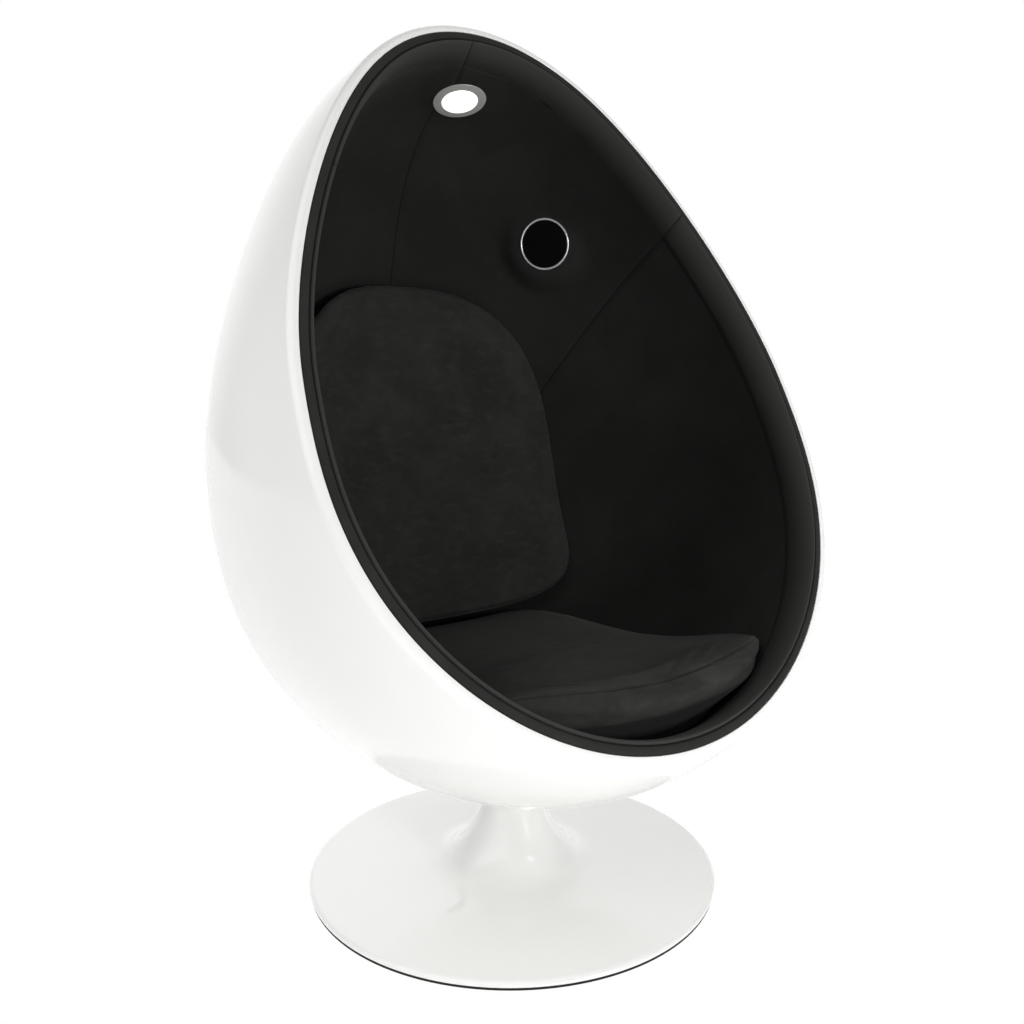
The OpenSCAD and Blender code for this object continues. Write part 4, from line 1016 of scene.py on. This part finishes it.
FACE_R = 28.1
GRILLE_R = 39.3
BEZEL_R = 41.6


def light_ring_rows():
    """The light's ring, closed: a flat sloping face between two rounded edges, over a flat back."""
    return at_light(turned(np.concatenate([
        [[28.3, 0.4], [41.2, 0.4]], arc((40.9, 1.4), (41.8, 1.4), (40.9, 2.2), 5), [[35.0, 2.6], [30.0, 2.9]],
        arc((29.2, 2.4), (29.2, 2.9), (28.4, 2.4), 4)])))


def diffuser_rows():
    """The diffuser: a flat back, a short wall and a low crown."""
    return at_light(turned([
        [0.01, 0.4], [FACE_R, 0.4], [FACE_R, 3.4], [27.4, 4.0], [20.0, 4.3], [10.0, 4.5], [0.01, 4.6]]))


def bezel_rows(side):
    """A speaker's ring: a bead of a little more than half an ellipse, closed below."""
    a = np.linspace(-0.35, np.pi + 0.35, 14)
    return at_speaker(turned(np.stack([BEZEL_R + 1.95 * np.cos(a), 1.2 + 1.9 * np.sin(a)], -1)), side)


def grille_rows(side):
    """A speaker's grille: a low dome as a sine of the way in, and a lower one behind it."""
    dome_a, rear_a = np.linspace(0, np.pi / 2, 16), np.linspace(0, np.pi / 2, 6)
    dome = np.stack([np.linspace(GRILLE_R, 0.01, 16), 0.5 + 1.6 * np.sin(dome_a)], -1)
    rear = np.stack([np.linspace(0.01, GRILLE_R, 6), 0.42 + 1.0 * np.cos(rear_a)], -1)
    return at_speaker(turned(np.concatenate([dome, rear[:-1]])), side)


light_ring = skin("light_ring_alloy", light_ring_rows(), closed_rows=True)
dress(light_ring, SILVER, "pod", "light_ring", slot="light_ring_alloy")
light_face = skin("light_diffuser_opal", diffuser_rows())
dress(light_face, OPAL, "pod", "light_diffuser", slot="opal_diffuser")
for side, hand in ((1, "left"), (-1, "right")):
    ring = skin(f"speaker_{hand}_bezel", bezel_rows(side), closed_rows=True)
    dress(ring, CHROME, "pod", f"speaker_{hand}_ring", slot="speaker_chrome")
    grille = skin(f"speaker_{hand}_mesh", grille_rows(side))
    dress(grille, MESH, "pod", f"speaker_{hand}_grille", slot="grille_mesh")


# Materials for the solids that stay

# Each is listed with the first solid that wears it, and SAME lists the others. Only the glide's edge and the
# hub show from outside.
STAY = {
    "base_glide": moulded("black_felt_pad", "#1A1A1A", 0.95, 1.11, 0.4),
    "ballast_plate": metal("black_powder_coat", "#26262A", 0.5, 1.43, metallic=0.0),
    "post_tube": metal("turned_steel", "#9B9B9D", 0.3, 2.0),
    "ballast_screws": metal("zinc_plated_steel", "#B9B8B0", 0.28, 1.67),
    "upper_bush": moulded("natural_nylon", "#DAD6C4", 0.45, 2.5),
    "thrust_washer": metal("sintered_bronze", "#A57C43", 0.4, 1.11),
    "inner_wedge": birch_ply(),
    # The seat board is painted near-black as painted shade, standing in for the dark gap under the seat's
    # front.
    "seat_board": moulded("ply_blackened_as_painted_shade", "#121211", 0.7, 3.33, 0.3),
    "foam_back_left": padding_foam(),
    "control_box": moulded("black_abs_housing", "#151515", 0.5, 0.83, 0.3),
    "light_board": moulded("white_solder_resist", "#E4E8E2", 0.3, 5.0),
    "speaker_left_cone": moulded("doped_paper_cone", "#1B1B1B", 0.7, 1.25, 0.4),
    "speaker_left_magnet": metal("ferrite_magnet", "#2C2C2F", 0.6, 1.11, metallic=0.3),
    "swivel_hub": GEL_COAT,
}
SAME = {
    "ballast_plate": ("mount_plate", "seat_pillars", "speaker_left_basket", "speaker_right_basket"),
    "post_tube": ("spindle", "retaining_washer"),
    "ballast_screws": ("retaining_screw", "flange_bolts", "flange_nuts", "board_screws"),
    "upper_bush": ("lower_bush",),
    "foam_back_left": ("foam_back_right", "foam_side_left", "foam_side_right"),
    "control_box": ("power_inlet", "light_can"),
    "speaker_left_cone": ("speaker_right_cone",),
    "speaker_left_magnet": ("speaker_right_magnet",),
}
for first, mat in STAY.items():
    for name in (first,) + SAME.get(first, ()):
        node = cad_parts[name]
        node.data.materials.clear()
        node.data.materials.append(mat)


# The camera, the floor and the lights

def look(azimuth, elevation):
    """The camera's right, up and back directions for a view by azimuth and elevation in degrees."""
    a, e = np.radians(azimuth), np.radians(elevation)
    back_way = np.array([np.sin(a) * np.cos(e), -np.cos(a) * np.cos(e), np.sin(e)])
    right_way = np.array([np.cos(a), np.sin(a), 0])
    return right_way, np.cross(back_way, right_way), back_way


def stand(obj, axes, place):
    """Puts an object in the scene at a place in metres, with its right, up and back directions."""
    matrix = np.eye(4)
    matrix[:3, :3] = np.stack(axes, 1)
    matrix[:3, 3] = place
    obj.matrix_world = Matrix(matrix.tolist())
    scene.collection.objects.link(obj)


VIEW_TURN, VIEW_HEIGHT = -37.32, 11.93
VIEW_AIM_Z, VIEW_AWAY, VIEW_ASIDE = 492.391, 1497.719, 18.133
PICTURE_W, FOCUS_PX, MIDDLE_X_PX, MIDDLE_Y_PX = 1024, 952.109, 523.216, 580.11


def place_camera():
    """The photograph's viewpoint: 1.5 m from the chair, a little above its middle."""
    axes = look(VIEW_TURN, VIEW_HEIGHT)
    data = bpy.data.cameras.new("camera")
    data.sensor_width = 36
    data.lens = data.sensor_width * FOCUS_PX / PICTURE_W
    data.shift_x = (PICTURE_W / 2 - MIDDLE_X_PX) / PICTURE_W
    data.shift_y = (MIDDLE_Y_PX - PICTURE_W / 2) / PICTURE_W
    cam = bpy.data.objects.new("camera", data)
    stand(cam, axes, (np.array([0, 0, VIEW_AIM_Z]) + axes[2] * VIEW_AWAY + axes[0] * VIEW_ASIDE) / 1000)
    scene.camera = cam


def lamp(name, place, aim, size, power):
    """A square soft light at a place in metres, turned to look at a point."""
    data = bpy.data.lights.new(name, "AREA")
    data.size = size
    data.energy = power
    back_way = np.asarray(place, float) - np.asarray(aim, float)
    back_way /= np.linalg.norm(back_way)
    side_way = np.cross([0, 0, 1], back_way)
    side_way /= np.linalg.norm(side_way)
    stand(bpy.data.objects.new(name, data), (side_way, np.cross(back_way, side_way), back_way), place)


def white_to_lens(tree, lit, out):
    """What lights the chair goes on doing so, but the lens sees plain white in its place."""
    plain = add(tree, "ShaderNodeBackground" if lit.type == "BACKGROUND" else "ShaderNodeEmission", {
        "Color": (1, 1, 1, 1), "Strength": 1.0})
    seen = add(tree, "ShaderNodeLightPath").outputs["Is Camera Ray"]
    add(tree, "ShaderNodeMixShader", {0: seen, 1: lit, 2: plain}, to=out.inputs[0])


def studio_floor():
    """A painted white floor that gives off a little light of its own, as a lit sweep does."""
    mat, tree, shader, place = start_material("painted_studio_floor", **{
        "Base Color": linear("#F4F4F4"), "Roughness": 0.7,
        "Emission Color": (1, 1, 1, 1), "Emission Strength": 0.3})
    white_to_lens(tree, shader, next(node for node in tree.nodes if node.type == "OUTPUT_MATERIAL"))
    bpy.ops.mesh.primitive_plane_add(size=60, location=(0, 0, -0.0005))
    floor = bpy.context.object
    floor.name = "floor"
    floor.data.materials.append(mat)


# Soft patches of the surround: turn, height and half width in degrees, and strength
PATCHES = (
    (-37, 12, 62, 0.18), (53, 12, 62, 0.33), (143, 12, 62, 1.18), (-127, 12, 62, 0.61), (-82, 55, 45, 1.44))
SURROUND = 0.07


def studio_surround():
    """A surround that is brightest behind the chair and high on its left: patches fading with the angle."""
    world = bpy.data.worlds.new("surround")
    world.use_nodes = True
    scene.world = world
    tree = world.node_tree
    tree.nodes.clear()
    way = add(tree, "ShaderNodeTexCoord").outputs["Generated"]
    glow = SURROUND
    for azimuth, elevation, wide, power in PATCHES:
        toward = add(tree, "ShaderNodeVectorMath", {0: way, 1: tuple(look(azimuth, elevation)[2])},
                     operation="DOT_PRODUCT")
        patch = add(tree, "ShaderNodeMapRange", {
            "Value": toward, "From Min": float(np.cos(np.radians(wide))), "From Max": 1.0,
            "To Min": 0.0, "To Max": power}, interpolation_type="SMOOTHSTEP")
        glow = add(tree, "ShaderNodeMath", {0: glow, 1: patch}, operation="ADD")
    soft = add(tree, "ShaderNodeBackground", {"Color": (1, 1, 1, 1), "Strength": glow})
    white_to_lens(tree, soft, add(tree, "ShaderNodeOutputWorld"))


place_camera()
studio_floor()
studio_surround()
lamp("front_light", (0.2, -2.4, 0.75), (0, 0, 0.8), 0.5, 23)
scene.view_settings.view_transform = "Standard"
scene.view_settings.look = "None"
